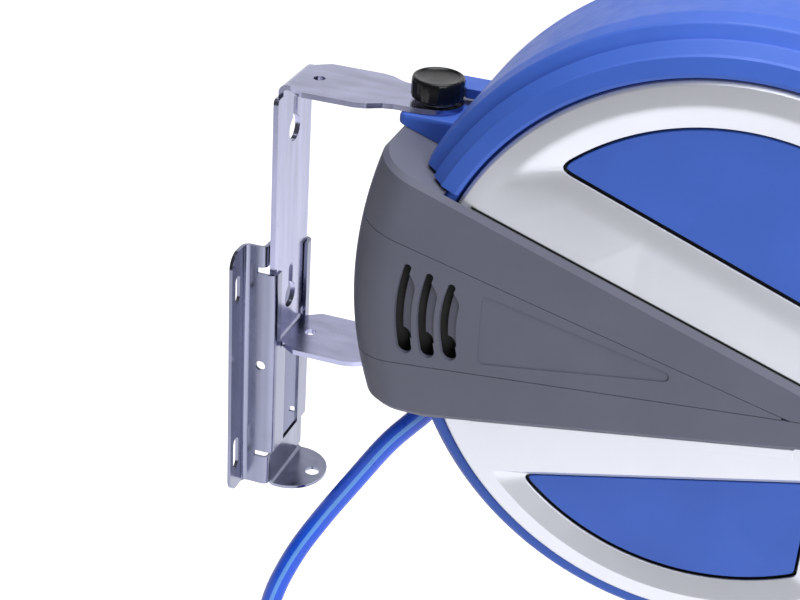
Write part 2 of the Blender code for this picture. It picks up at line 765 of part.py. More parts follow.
def housing_bolt(number, angle, parent, material, halves):
    """A long bolt from the far rim to the near rim, with its holes in both halves."""
    centre = around(0.1555, angle)
    profile = [
        (0.0, BEAD + 0.0022),
        (0.0026, BEAD + 0.0022),
        (0.0036, BEAD + 0.0012),
        (0.0036, BEAD + GAP),
        (0.0019, BEAD + GAP),
        (0.0019, -0.0556),
        (0.0, -0.0556),
    ]
    turned(f"housing_bolt_{number}", profile, centre, (0, 1, 0), parent, material, 12)
    bore = rod(centre - Vector((0, 0.0559, 0)), centre + Vector((0, 0.07, 0)), 0.0022, 12)
    tool = as_cutter(solid(f"cut_bolt_{number}", bore, centre, None, None))
    for half in halves:
        boolean(half, tool)


def leaf(radius, chord, right, corner_radius):
    """A window outline about the axle: an arc above, a straight chord below, a right edge.

    chord is the line z = chord[0] + chord[1] * x. The count of points is always the same.
    """
    a, b = chord
    square = 1 + b * b
    root = math.sqrt((a * b) ** 2 - square * (a * a - radius * radius))
    tip_x = (-a * b - root) / square
    start = math.atan2(a + b * tip_x, tip_x)
    end = math.acos(right / radius)
    top = arc((0.0, 0.0), radius, start, end, 9)
    low_right = (right, a + b * right)
    low = [
        (tip_x + (right - tip_x) * t, a + b * (tip_x + (right - tip_x) * t))
        for t in (0.72, 0.45, 0.2)
    ]
    points = top + [low_right] + low
    return fillet(points, {0: corner_radius, 9: corner_radius, 10: corner_radius})


def fillet(points, corners, steps=3):
    """Rounds the named corners of an outline."""
    rounded = []
    for k, point in enumerate(points):
        if k not in corners:
            rounded.append(point)
            continue
        here = Vector(point)
        back = (Vector(points[k - 1]) - here).normalized()
        ahead = (Vector(points[(k + 1) % len(points)]) - here).normalized()
        half_angle = math.acos(max(-1.0, min(1.0, back.dot(ahead)))) / 2
        cut = corners[k] / math.tan(half_angle)
        for j in range(steps + 1):
            t = j / steps
            a = here + back * cut * (1 - t)
            b = here + ahead * cut * t
            rounded.append(tuple(a * (1 - t) + b * t))
    return rounded


def window_pair(upside):
    """The window's edge on the cover's face and the smaller opening at its foot, in XZ."""
    outer = leaf(WINDOW_RADIUS, (0.0430, -0.375), 0.070, 0.004)
    inner = leaf(WINDOW_RADIUS - 0.0105, (0.0580, -0.375), 0.058, 0.007)
    if upside:
        return outer, inner
    outer = leaf(WINDOW_RADIUS + 0.003, (0.0640, -0.245), 0.074, 0.004)
    inner = leaf(WINDOW_RADIUS - 0.0085, (0.0680, -0.245), 0.062, 0.007)
    return [(x, -z) for x, z in outer], [(x, -z) for x, z in inner]


def side_cover(word, side, parent, material):
    """A silver side cover: a flat face, a sloping rim, and windows with sloping walls."""
    rings = [circle((0.0, 0.0), COVER_FLAT, RIM_STEPS)]
    windows = [window_pair(True), window_pair(False)]
    bm = filled(rings + [outer for outer, inner in windows])
    face_verts = {(round(v.co.x, 5), round(v.co.y, 5)): v for v in bm.verts}

    def on_face(outline):
        return [face_verts[(round(x, 5), round(z, 5))] for x, z in outline]

    def band(start, target, depth):
        """Joins a loop to another with the same count of points, which lies deeper."""
        goal = [bm.verts.new((x, z, -depth)) for x, z in target]
        for k, nxt in zip(range(len(goal)), [*range(1, len(goal)), 0]):
            bm.faces.new((start[k], start[nxt], goal[nxt], goal[k]))
        return goal

    for outer, inner in windows:
        band(on_face(outer), inner, WINDOW_DEPTH)
    edge = on_face(rings[0])
    for radius, depth in COVER_EDGE:
        edge = band(edge, circle((0.0, 0.0), radius, RIM_STEPS), depth)
    for vert in bm.verts:
        x, z, depth = vert.co
        vert.co = AXLE + Vector((x, side * (COVER_FACE + depth), z))
    obj = sheet(f"side_cover_{word}", bm, 0.0022, AXLE, parent, material)
    notch = [(0.105, 0.142), (0.150, 0.129), (0.150, 0.034), (0.105, 0.029)]
    low, high = sorted((side * 0.045, side * 0.070))
    tool = prism(notch, "Y", low, high)
    boolean(obj, as_cutter(solid("cut_notch_" + word, tool, (0, 0, 0), None, None)))
    return obj


def inset(outline, by):
    """Moves each point of an outline inwards, square to its neighbours' chord."""
    area = sum(a[0] * b[1] - b[0] * a[1] for a, b in zip(outline, outline[1:] + outline[:1]))
    way = 1 if area > 0 else -1
    out = []
    for k, point in enumerate(outline):
        before, after = Vector(outline[k - 1]), Vector(outline[(k + 1) % len(outline)])
        along = (after - before).normalized()
        out.append((point[0] - way * along.y * by, point[1] + way * along.x * by))
    return out


def window_inlay(name, side, upside, parent, material):
    """A blue plate at the foot of a window, on the housing's side wall."""
    opening = window_pair(upside)[1]
    outline = [(AXLE.x + x, AXLE.z + z) for x, z in inset(opening, 0.0019)]
    low, high = sorted((side * (SIDE_WALL + GAP), side * (SIDE_WALL + 0.0026)))
    return solid(name, prism(outline, "Y", low, high), AXLE, parent, material)


def top_guard(parent, material):
    """The blue guard over the top of the rim, a swept section with the arm's keeper on it."""
    half = [
        (GUARD_RADIUS, 0.0),
        (GUARD_RADIUS, -0.036),
        (GUARD_RADIUS - 0.0020, -0.0465),
        (0.1690, -0.0530),
        (0.1664, -0.0552),
        (0.1640, -0.0595),
        (0.1625, -0.0606),
        (0.1545, -0.0622),
        (0.1526, -0.0614),
        (0.1526, -0.0576),
        (0.1634, -0.0576),
        (0.1640, -0.0540),
        (0.1665, -0.0525),
        (GUARD_RADIUS - 0.0048, -0.0455),
        (GUARD_RADIUS - 0.0026, -0.035),
        (GUARD_RADIUS - 0.0026, 0.0),
    ]
    section = half + [(r, -y) for r, y in reversed(half[1:-1])]
    start, end = GUARD_END, math.radians(163)
    bm = bmesh.new()
    points = [around(r, start, y) for r, y in section]
    face = bm.faces.new([bm.verts.new(p) for p in points])
    bmesh.ops.spin(
        bm, geom=[face], cent=AXLE, axis=(0, -1, 0), angle=end - start, steps=20, use_duplicate=False
    )
    keep_above(bm, moved(TOP_PLANE, GUARD_CLEAR))
    obj = solid("top_guard", bm, AXLE, parent, material)
    lug = box((0.104, KEEPER_Y[0], KEEPER_BOTTOM), (0.130, KEEPER_Y[1], KEEPER_TOP))
    tool = solid("add_keeper", lug, AXLE, None, None)
    clear = rod((PIVOT_X, 0, 0.17), (PIVOT_X, 0, 0.19), KNOB_RADIUS + 0.0012, 32)
    boolean(tool, as_cutter(solid("cut_keeper", clear, (PIVOT_X, 0, 0), None, None)))
    core = rod(AXLE - Vector((0, 0.07, 0)), AXLE + Vector((0, 0.07, 0)), GUARD_RADIUS - 0.0013, 96)
    boolean(tool, as_cutter(solid("cut_keeper_root", core, AXLE, None, None)))
    boolean(obj, as_cutter(tool), "UNION")
    return obj


# Outlet: drawn along +X from the axle and then turned down by the outlet's angle
def outlet_turn(bm):
    turn = Euler((0.0, OUTLET_ANGLE, 0.0)).to_matrix()
    bmesh.ops.rotate(bm, matrix=turn, verts=bm.verts)
    bmesh.ops.translate(bm, vec=AXLE, verts=bm.verts)
    return bm


def outlet_box(low, high):
    return outlet_turn(box(low, high))


def outlet_point(reach, y, rise):
    turn = Euler((0.0, OUTLET_ANGLE, 0.0)).to_matrix()
    return AXLE + turn @ Vector((reach, y, rise))


def outlet(frames, material, steel, roller_material):
    """The mouth that the working hose comes out of, with two rollers on pins."""
    body = outlet_box((0.150, -0.050, -0.030), (0.193, 0.050, 0.030))
    edges = [e for e in body.edges if e.calc_length() > 0.039]
    bmesh.ops.bevel(body, geom=edges, offset=0.005, segments=2, profile=0.5, affect="EDGES")
    at = outlet_point(0.178, 0.0, 0.0)
    guide = solid("outlet_guide", body, at, frames["reel"], material)
    disc = rod(AXLE - Vector((0, 0.08, 0)), AXLE + Vector((0, 0.08, 0)), RIM_RADIUS + GAP, 96)
    boolean(guide, as_cutter(solid("cut_outlet_disc", disc, AXLE, None, None)))
    mouths = {
        "cut_outlet_mouth": ((0.1735, -0.041, -0.0260), (0.20, 0.041, 0.0260)),
        "cut_outlet_throat": ((0.14, -0.0385, -0.0115), (0.18, 0.0385, 0.0115)),
    }
    for name, (low, high) in mouths.items():
        boolean(guide, as_cutter(solid(name, outlet_box(low, high), at, None, None)))
    for word, sign in (("upper", 1), ("lower", -1)):
        centre = outlet_point(ROLLER_REACH, 0.0, sign * ROLLER_OFFSET)
        ends = [centre + Vector((0, y, 0)) for y in (-0.047, 0.047)]
        solid(f"roller_pin_{word}", rod(*ends, 0.0018, 20), centre, frames["reel"], steel)
        hole = [centre + Vector((0, y, 0)) for y in (-0.0473, 0.0473)]
        bore = solid(f"cut_pin_{word}", rod(*hole, 0.0021, 20), centre, None, None)
        boolean(guide, as_cutter(bore))
        profile = [
            (ROLLER_RADIUS - 0.001, 0.0400),
            (ROLLER_RADIUS, 0.0390),
            (ROLLER_RADIUS - 0.0012, 0.0),
            (ROLLER_RADIUS, -0.0390),
            (ROLLER_RADIUS - 0.001, -0.0400),
            (0.0021, -0.0400),
            (0.0021, 0.0400),
        ]
        turned(
            f"outlet_roller_{word}",
            profile,
            centre,
            (0, 1, 0),
            frames["roller_" + word],
            roller_material,
            18,
            closed=True,
        )
    return guide


def drum(frames, plastic, hose_material):
    """The drum: a barrel between two flanges on bushes, with the wound hose on it."""
    spin = frames["drum"]
    along = (0, 1, 0)
    ring("drum_barrel", 0.0575, BARREL_RADIUS, -0.0367, 0.0417, AXLE, along, spin, plastic, 32)
    for word, (low, high) in (("near", NEAR_FLANGE), ("far", FAR_FLANGE)):
        edge = FLANGE_RADIUS
        name = f"drum_flange_{word}"
        profile = [(edge, high), (edge, low), (0.0125, low), (0.0125, high)]
        turned(name, profile, AXLE, along, spin, plastic, 40, closed=True)
        bush = AXLE_RADIUS + GAP
        ring(f"drum_bush_{word}", bush, 0.0122, low, high, AXLE, along, spin, plastic, 20)
    low, high = -0.0366, 0.0416
    rounding = 0.004
    inner = BARREL_RADIUS + GAP
    outer = WINDING_RADIUS
    profile = [
        (outer - rounding, high),
        (outer, high - rounding),
        (outer, low + rounding),
        (outer - rounding, low),
        (inner, low),
        (inner, high),
    ]
    turned("hose_winding", profile, AXLE, along, spin, hose_material, 36, closed=True)


def spring_motor(frames, steel, plastic):
    """The rewind spring: a flat spiral between an arbor on the axle and a cup in the drum."""
    spin, still = frames["drum"], frames["reel"]
    along = (0, 1, 0)
    profile = [
        (0.053, 0.038),
        (0.053, 0.006),
        (0.014, 0.006),
        (0.014, 0.0075),
        (0.0515, 0.0075),
        (0.0515, 0.038),
    ]
    turned("spring_cup", profile, AXLE, along, spin, plastic, 32, closed=True)
    ring("spring_cover", 0.0128, 0.053, 0.0383, 0.0398, AXLE, along, spin, plastic, 32)
    arbor = AXLE_RADIUS + GAP
    ring("spring_arbor", arbor, 0.0120, 0.009, 0.037, AXLE, along, still, steel, 20)
    bm = bmesh.new()
    per_turn = 12
    count = SPRING_TURNS * per_turn
    inner, outer = 0.0127, 0.0508
    spots = []
    for k in range(count + 1):
        radius = inner + (outer - inner) * k / count
        angle = TURN * k / per_turn
        spots.append((radius * math.cos(angle), radius * math.sin(angle)))
    for (xa, za), (xb, zb) in zip(spots, spots[1:]):
        cell = [(xa, 0.0105, za), (xb, 0.0105, zb), (xb, 0.0355, zb), (xa, 0.0355, za)]
        bm.faces.new([bm.verts.new(AXLE + Vector(c)) for c in cell])
    sheet("mainspring", bm, 0.0005, AXLE, still, steel)


def ratchet(frames, plastic, steel):
    """A ratchet ring on the far flange, and a pawl on the housing that drops between teeth."""
    spin, still, swing = frames["drum"], frames["reel"], frames["pawl"]
    outline = []
    for k in range(RATCHET_TEETH):
        base = TURN * k / RATCHET_TEETH
        gap_half = math.radians(13)
        outline += arc((0.0, 0.0), 0.052, base + gap_half, base + TURN / 4 - gap_half, 6)
        gap = base + TURN / 4
        outline += arc((0.0, 0.0), 0.042, gap - gap_half + 0.02, gap + gap_half - 0.02, 3)
    bm = filled([outline, circle((0.0, 0.0), 0.030, 32)])
    for vert in bm.verts:
        x, z, _ = vert.co
        vert.co = AXLE + Vector((x, 0.0467, z))
    sheet("ratchet_ring", bm, 0.0028, AXLE, spin, plastic)

    pivot = AXLE + Vector((PAWL_PIVOT[0], 0.0, PAWL_PIVOT[1]))
    arm = [
        *arc((0.0, 0.0), 0.0045, math.radians(-20), math.radians(200), 8),
        (-0.0020, -0.0125),
        (0.0020, -0.0130),
    ]
    lean = (math.cos(PAWL_LEAN), math.sin(PAWL_LEAN))
    points = [
        (pivot.x + x * lean[0] - z * lean[1], pivot.z + x * lean[1] + z * lean[0]) for x, z in arm
    ]
    pawl = solid("pawl", prism(points, "Y", 0.0455, 0.0481), pivot, swing, steel)
    hole = rod(pivot + Vector((0, 0.04, 0)), pivot + Vector((0, 0.06, 0)), 0.0023, 16)
    boolean(pawl, as_cutter(solid("cut_pawl", hole, pivot, None, None)))
    pin = rod(pivot + Vector((0, 0.0452, 0)), pivot + Vector((0, 0.0522, 0)), 0.002, 16)
    solid("pawl_pin", pin, pivot, still, steel)
    wire, turns, per_turn = 0.00035, 2, 8
    path = []
    for k in range(turns * per_turn + 1):
        angle = TURN * k / per_turn
        y = 0.0489 + 0.0013 * k / per_turn
        path.append(pivot + Vector((0.0031 * math.cos(angle), y, 0.0031 * math.sin(angle))))
    tube("pawl_spring", path, wire, still, steel, 1)


def air_path(frames, brass, black):
    """The axle, the rotary joint on it, the elbow to the barrel and the pipe from the gland."""
    spin, still = frames["drum"], frames["reel"]
    ends = [AXLE + Vector((0, y, 0)) for y in (-0.0546, 0.0546)]
    solid("drum_axle", rod(*ends, AXLE_RADIUS, 28), AXLE, still, brass["steel"])
    profile = [
        (0.0125, -0.012),
        (0.0135, -0.013),
        (0.0135, -0.029),
        (0.0125, -0.030),
        (AXLE_RADIUS + GAP, -0.030),
        (AXLE_RADIUS + GAP, -0.012),
    ]
    turned("rotary_air_joint", profile, AXLE, (0, 1, 0), spin, brass["brass"], 20, closed=True)
    elbow = [AXLE + Vector((0, -0.021, z)) for z in (0.0139, 0.030, 0.044, 0.0566)]
    tube("barrel_elbow", elbow, 0.0045, spin, brass["brass"], 2)
    start = EXIT_AT_RIM - 0.0070 * EXIT_DIRECTION
    bends = [
        (0.1500, 200.5, -0.0280),
        (0.1500, 196.5, -0.0355),
        (0.1490, 192.5, -0.0425),
        (0.1440, 189.0, -0.0463),
        (0.1340, 186.5, -0.0463),
        (0.1100, 184.0, -0.0463),
        (0.0600, 181.0, -0.0463),
        (0.0088, 180.0, -0.0463),
    ]
    inside = start - 0.0055 * EXIT_DIRECTION
    route = [inside] + [around(r, math.radians(angle), y) for r, angle, y in bends]
    tube("supply_pipe", [start, *smooth_path(route, 0.011)], 0.0042, still, black, 2)


def smooth_path(route, step):
    """Points a step apart on a smooth curve through the route's own points."""
    spots = [Vector(p) for p in route]
    spots = [2 * spots[0] - spots[1], *spots, 2 * spots[-1] - spots[-2]]
    dense = []
    for a, b, c, d in zip(spots, spots[1:], spots[2:], spots[3:]):
        for k in range(40):
            t = k / 40
            dense.append(
                0.5
                * (
                    2 * b
                    + (c - a) * t
                    + (2 * a - 5 * b + 4 * c - d) * t * t
                    + (3 * b - a - 3 * c + d) * t * t * t
                )
            )
    dense.append(spots[-2])
    lengths = [0.0]
    for a, b in zip(dense, dense[1:]):
        lengths.append(lengths[-1] + (b - a).length)
    count = max(2, round(lengths[-1] / step))
    result, k = [], 0
    for j in range(count):
        goal = lengths[-1] * j / count
        while lengths[k + 1] < goal:
            k += 1
        share = (goal - lengths[k]) / (lengths[k + 1] - lengths[k])
        result.append(dense[k].lerp(dense[k + 1], share))
    return [*result, dense[-1]]


def coil_point(angle):
    """A point of the hose's coil, which hangs below the swivel and steps along Y each turn."""
    x = -COIL_RADIUS * math.cos(angle)
    z = -COIL_RADIUS * math.sin(angle)
    return COIL_CENTRE + Vector((x, COIL_PITCH * angle / TURN, z))


def supply_hose(parent, hose_material, black, brass):
    """The gland, the free stretch, the tied coil of what is spare, and the plug."""
    along = EXIT_DIRECTION
    base, tip = EXIT_AT_RIM - 0.006 * along, EXIT_AT_RIM + GLAND_OUT * along
    boot = rod(base, tip, 0.0086, 24, 0.0070)
    solid("supply_gland", boot, EXIT_AT_RIM, parent, black)

    first = tip + GAP * along
    steps = int(COIL_SWEEP / TURN * COIL_POINTS)
    turns = [coil_point(TURN * k / COIL_POINTS) for k in range(steps + 1)]
    rise = Vector((0.0, 0.0, 1.0))
    coil_start = turns[0] + 2 * HOSE_RADIUS * rise
    free = [first, first + 2 * HOSE_RADIUS * along, *HOSE_ROUTE]
    free += [coil_start + 2 * HOSE_RADIUS * rise, coil_start + GAP * rise]
    path = smooth_path(free, 0.012)
    tube("supply_hose", path, HOSE_RADIUS, parent, hose_material, 3)
    coil = [coil_start, *turns, turns[-1] + 2 * HOSE_RADIUS * rise]
    tube("supply_hose_coil", coil, HOSE_RADIUS, parent, hose_material, 1)
    report_gap(coil)
    total = sum((b - a).length for a, b in zip(path, path[1:]))
    total += sum((b - a).length for a, b in zip(coil, coil[1:]))
    print(f"supply hose: {total:.3f} m with its coil")

    plug = [
        (0.0, 0.045),
        (0.0035, 0.045),
        (0.0042, 0.043),
        (0.0042, 0.033),
        (0.0058, 0.031),
        (0.0058, 0.027),
        (0.0045, 0.025),
        (0.0045, 0.021),
        (0.0080, 0.020),
        (0.0080, 0.014),
        (0.0074, 0.013),
        (0.0074, GAP),
        (0.0, GAP),
    ]
    turned("supply_plug", plug, coil[-1], rise, parent, brass, 16)
    coil_tie(parent, black)


def coil_tie(parent, material):
    """A strap round the two turns that lie side by side at the foot of the coil."""
    angle = math.radians(62)
    one, two = coil_point(angle), coil_point(angle + TURN)
    reach = HOSE_RADIUS + 0.0016
    outward = Vector((-math.cos(angle), 0.0, -math.sin(angle)))
    sideways = Vector((0.0, 1.0, 0.0))
    path = []
    for centre, start in ((one, math.pi / 2), (two, -math.pi / 2)):
        for k in range(9):
            turn = start + math.pi * k / 8
            offset = math.cos(turn) * sideways + math.sin(turn) * outward
            path.append(centre + reach * offset)
    along = Vector((math.sin(angle), 0.0, -math.cos(angle)))
    bm = bmesh.new()
    for a, b in zip(path, path[1:] + path[:1]):
        corners = [a - 0.005 * along, b - 0.005 * along, b + 0.005 * along, a + 0.005 * along]
        bm.faces.new([bm.verts.new(c) for c in corners])
    sheet("coil_tie", bm, 0.0012, one.lerp(two, 0.5), parent, material)


def report_gap(path):
    """Prints the least gap between turns of the coil that aren't neighbours on it."""
    least = 1.0
    for i, a in enumerate(path):
        for j in range(i + COIL_POINTS // 2, len(path) - 1):
            b, c = path[j], path[j + 1]
            t = max(0.0, min(1.0, (a - b).dot(c - b) / (c - b).length_squared))
            least = min(least, (a - b.lerp(c, t)).length)
    print(f"coil: least gap between turns {1000 * (least - 2 * HOSE_RADIUS):.2f} mm")


def build():
    zinc = finish("zinc_plated_sheet", ZINC, 0.22, 1.0)
    blue = finish("blue_plastic", BLUE, 0.38)
    grey = finish("grey_plastic", GREY, 0.5)
    silver = finish("silver_plastic", SILVER, 0.32, 0.3)
    black = finish("black_plastic", BLACK, 0.35)
    steel = finish("bright_steel", STEEL, 0.3, 1.0)
    brass = finish("brass", BRASS, 0.3, 1.0)
    hose = finish("blue_hose", (0.01, 0.07, 0.55), 0.3)

    root = empty("wall", (0, 0, 0))
    lift = empty("lift_frame", (PLATE_X, 0, ARM_BOTTOM), root)
    reel = empty("swivel_axis", (PIVOT_X, 0, 0), lift)
    frames = {
        "reel": reel,
        "knob": empty("knob_axis", (PIVOT_X, 0, KNOB_BOTTOM), reel),
        "drum": empty("drum_axis", AXLE, reel),
        "pawl": empty("pawl_axis", AXLE + Vector((PAWL_PIVOT[0], 0, PAWL_PIVOT[1])), reel),
    }
    for word, sign in (("upper", 1), ("lower", -1)):
        spot = outlet_point(ROLLER_REACH, 0.0, sign * ROLLER_OFFSET)
        frames["roller_" + word] = empty(f"roller_axis_{word}", spot, reel)

    wall_bracket(root, zinc)
    swivel_bracket(lift, zinc)

    clamp_knob(frames["knob"], black)
    stud_ends = [(PIVOT_X, 0, z) for z in (0.129, KNOB_TOP - 0.0045 - GAP)]
    solid("knob_stud", rod(*stud_ends, PIN_RADIUS, 24), stud_ends[1], reel, steel)
    up = (0, 0, 1)
    spot = (PIVOT_X, 0, 0)
    washer = (ARM_TOP + STRIP / 2 + GAP, KNOB_BOTTOM - GAP)
    ring("knob_washer", PIVOT_BORE, 0.010, *washer, spot, up, reel, steel, 24)
    pivot_neck(reel, blue)
    hex_nut("neck_nut", 0.1312, BOSS_BOTTOM - GAP, reel, steel)
    bush = [
        (0.0070, 0.0290),
        (0.0070, 0.0177),
        (0.0130, 0.0177),
        (0.0130, 0.0153),
        (PIVOT_BORE, 0.0153),
        (PIVOT_BORE, 0.0290),
    ]
    turned("lower_pivot_bush", bush, spot, up, reel, black, 24, closed=True)
    bolt = [
        (0.0, 0.0380),
        (0.0032, 0.0380),
        (PIN_RADIUS, 0.0373),
        (PIN_RADIUS, 0.0117),
        (0.0075, 0.0117),
        (0.0075, 0.0080),
        (0.0062, 0.0068),
        (0.0, 0.0068),
    ]
    turned("lower_pivot_bolt", bolt, spot, up, reel, steel, 16)
    hex_nut("lower_pivot_nut", 0.0293, 0.0358, reel, steel)

    halves = [housing("near", -1, reel, blue), housing("far", 1, reel, blue)]
    boot = as_cutter(solid("cut_boot", gland_rod(0.0092, -0.025, 0.02), EXIT_AT_RIM, None, None))
    boolean(halves[0], boot)
    for number, degrees in enumerate((12, -62, -108, 166), 1):
        housing_bolt(number, math.radians(degrees), reel, steel, halves)
    top_guard(reel, blue)
    for word, side in (("near", -1), ("far", 1)):
        side_cover(word, side, reel, silver)
        window_inlay(f"upper_inlay_{word}", side, True, reel, blue)
        window_inlay(f"lower_inlay_{word}", side, False, reel, blue)
        vent_louvre(word, side, reel, black)
    belt(reel, grey)
    outlet(frames, grey, steel, black)
    drum(frames, grey, hose)
    spring_motor(frames, steel, grey)
    ratchet(frames, black, steel)
    air_path(frames, {"steel": steel, "brass": brass}, black)
    supply_hose(reel, hose, black, brass)


build()
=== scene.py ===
"""Visual model of the air hose reel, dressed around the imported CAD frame.

Lengths are in metres in the frame's own axes: the wall is the plane x = 0, the reel stands
away from it along +X, and +Z is up.
"""

import math

import bmesh
import bpy
from mathutils import Euler, Matrix, Vector


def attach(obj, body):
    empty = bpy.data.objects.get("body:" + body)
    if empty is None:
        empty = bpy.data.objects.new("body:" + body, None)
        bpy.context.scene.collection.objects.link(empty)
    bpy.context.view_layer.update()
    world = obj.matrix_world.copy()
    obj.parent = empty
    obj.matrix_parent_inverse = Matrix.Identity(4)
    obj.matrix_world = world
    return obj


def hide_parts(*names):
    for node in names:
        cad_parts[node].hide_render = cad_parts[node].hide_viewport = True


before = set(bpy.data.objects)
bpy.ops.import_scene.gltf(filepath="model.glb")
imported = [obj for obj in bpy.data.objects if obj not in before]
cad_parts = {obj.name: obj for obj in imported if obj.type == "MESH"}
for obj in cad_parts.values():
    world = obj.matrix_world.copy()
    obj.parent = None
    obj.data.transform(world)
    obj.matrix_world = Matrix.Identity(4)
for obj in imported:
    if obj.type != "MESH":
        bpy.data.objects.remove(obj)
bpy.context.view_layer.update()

# Camera of the photograph: its place, its three angles and its focal length
CAMERA_AT = Vector((0.3468, -0.8092, 0.5128))
CAMERA_PAN = math.radians(17.9)
CAMERA_DOWN = math.radians(28.6)
CAMERA_ROLL = math.radians(3.7)
CAMERA_LENS = 76.65

# General: free play, the belt's seams, steps of round forms, welding distance, shading angle
GAP = 0.0003
SEAM = 0.0004
TURN = 2 * math.pi
FINE = 96
RIM_STEPS = 240
MERGE = 0.000001
SHARP = 32.0
MIDTONES = (0.3, 0.7)
BODY = "reel"

# Wall bracket
WALL_SHEET = 0.002
WALL_BOTTOM = -0.080
WALL_TOP = 0.079
FLANGE_EDGE = 0.046
FLANGE_BEND = 0.031
CHANNEL_SIDE = 0.027
CHANNEL_FOOT = 0.009
WEB_BEND = 0.003
LIP_X = 0.0196
LIP_BEND = 0.0034
LIP_BOTTOM = -0.057
LIP_TOP = 0.062
LANCE = 0.004
UPPER_WEB_X = 0.0134
LOWER_WEB_X = 0.017
TAB_RADIUS = 0.022
TAB_HOLE_X = 0.036
TAB_HOLE_RADIUS = 0.00425
SLOT_Y = 0.0385
WALL_SLOTS = ((0.055, 0.0055, 0.003), (-0.055, 0.007, 0.0035))
CROSS_HOLE = Vector((0.012, 0.0, 0.002))

# Swivel bracket
STRIP = 0.003
PLATE_X = 0.0165
ARM_TOP = 0.1721
ARM_BOTTOM = 0.0135
STRIP_BEND = 0.0035
STRIP_MIDDLE = (ARM_TOP + ARM_BOTTOM) / 2
STRIP_STRAIGHT = (ARM_TOP - ARM_BOTTOM) / 2 - STRIP_BEND
BEND_LENGTH = STRIP_BEND * math.pi / 2
BEND_END = STRIP_STRAIGHT + BEND_LENGTH
WING_HALF = 0.024
ROOT_HALF = 0.0175
ARM_HALF = 0.0235
NECK_HALF = 0.016
ARM_END_RADIUS = 0.0145
ARM_BORE = 0.005
KEYHOLES = (0.142, 0.037)
KEYHOLE_RADIUS = 0.0075
KEYHOLE_SLOT = 0.003

# Swivel pivot
PIVOT_X = 0.099
PIVOT_BORE = 0.0043
PIN_RADIUS = 0.0039
KNOB_RADIUS = 0.0143
KNOB_BOTTOM = 0.1758
KNOB_TOP = 0.1875
KNOB_HOLE_TOP = KNOB_TOP - 0.0045
NECK_TOP = ARM_TOP - STRIP / 2 - GAP
NECK_WIDTH = 0.036
NECK_CHAMFER = 0.003
BOSS_RADIUS = 0.011
BOSS_BOTTOM = 0.138

# Reel housing
AXLE = Vector((0.2694, 0.0, 0.0837))
RIM_RADIUS = 0.163
SHELL = 0.0025
SIDE_WALL = 0.055
BEAD = 0.0573
AXLE_RADIUS = 0.008
BOLT_CIRCLE = 0.1555
BOLT_ANGLES = (12, -62, -108, 166)
COVER_FLAT = 0.1403
COVER_EDGE = ((0.1486, 0.0010), (0.1497, 0.0020), (0.1497, 0.0046))
COVER_FACE = 0.0611
COVER_SHEET = 0.0022
COVER_TOP = COVER_FACE + COVER_SHEET / 2
COVER_NOTCH = ((0.105, 0.142), (0.150, 0.129), (0.150, 0.034), (0.105, 0.029))
WINDOW_RADIUS = 0.1365
# Where the painted shadow of the gap above the belt starts, how wide it is and how far it rises from
# the cover
GAP_START = 0.1400
GAP_WIDE = 0.0011
GAP_RISE = 0.0004
LEDGE_START = 0.1500
LEDGE_DEEP = 0.0062
LEDGE_RISE = 0.0012
TRIM_LIFT = 0.0001
WINDOW_DEPTH = 0.0037
INLAY_TOP = 0.0026
# How far above the side wall the painted gap shadow round each inlay lies
GAP_SHADOW_LIFT = 0.0004
GUARD_RADIUS = 0.177
GUARD_START = math.radians(26)
GUARD_STOP = math.radians(163)
GUARD_CLEAR = 0.002
KEEPER_Y = (0.008, 0.026)
KEEPER_BOTTOM = 0.1744
KEEPER_TOP = 0.1800

# Belt
BELT_BACK = 0.073
BELT_HALF = 0.066
BELT_CORNER = 0.026
BELT_SKIN = 0.0033
BELT_FLOOR = 0.018
BELT_CHAMFER = 0.0030
BELT_INSET = 0.0024
BELT_ROWS = 22
NOSE_START = 0.135
NOSE_LENGTH = 0.036
NOSE_MIDDLE = 0.085
NOSE_BOW_UPPER = 2.16
NOSE_BOW_LOWER = 2.6
TIP_X = 0.318
TIP_TRIM = 0.955
TOP_LINE = (0.1931, -0.34)
SEAM_1 = (0.1455, -0.25)
SEAM_2 = (0.0391, 0.09)
BOTTOM_LINE = (-0.0024, 0.165)
LABEL_FLOOR = 0.0654
LABEL_CORNER = 0.003
LOUVRE_TOP = 0.1125
LOUVRE_FOOT = 0.0545
VENTS = (
    (0.1110, 0.1065, 0.1095, 0.0600),
    (0.1232, 0.1037, 0.1222, 0.0603),
    (0.1355, 0.1003, 0.1345, 0.0617),
)
VENT_RADIUS = 0.0036
VENT_SLOT = 0.0022
VENT_WIDE = 0.0044
VENT_RAMP = 0.0008
VENT_BOW = 0.0028
CAP_TOP_X = 0.1225
CAP_FLOOR_X = 0.1186

# Hose outlet
OUTLET_ANGLE = math.radians(30)
ROLLER_RADIUS = 0.006
ROLLER_OFFSET = 0.0175
ROLLER_REACH = 0.181

# Supply hose and the pipe behind it
HOSE_RADIUS = 0.00625
EXIT_DIRECTION = Vector((-0.6, 0.0, -0.8))
EXIT_AT_RIM = Vector((0.1239, -0.022, 0.0100))
GLAND_OUT = 0.012
COIL_RADIUS = 0.066
COIL_CENTRE = Vector((0.0895, -0.045, -0.305))
COIL_PITCH = 0.0145
COIL_SWEEP = math.radians(540)
COIL_POINTS = 24
PIPE_Y = -0.0463
HOSE_ROUTE = [
    (0.0912, -0.0230, -0.0325),
    (0.0701, -0.0240, -0.0670),
    (0.0534, -0.0270, -0.0950),
    (0.0397, -0.0340, -0.1210),
    (0.0295, -0.0410, -0.1500),
    (0.0245, -0.0445, -0.1850),
    (0.0235, -0.0450, -0.2250),
]
HOSE_SIDES = 32
# The hose's lighter stripe is a painted highlight: a few faces of lighter blue, turned towards the
# camera
HIGHLIGHT_SIDES = 3
HIGHLIGHT_TOWARDS = Vector((0.25, -1.0, 0.35))

# Stage and light
FLOOR_Z = -0.384
STAGE_LIFT = 0.80
WORLD_LEVEL = 0.12


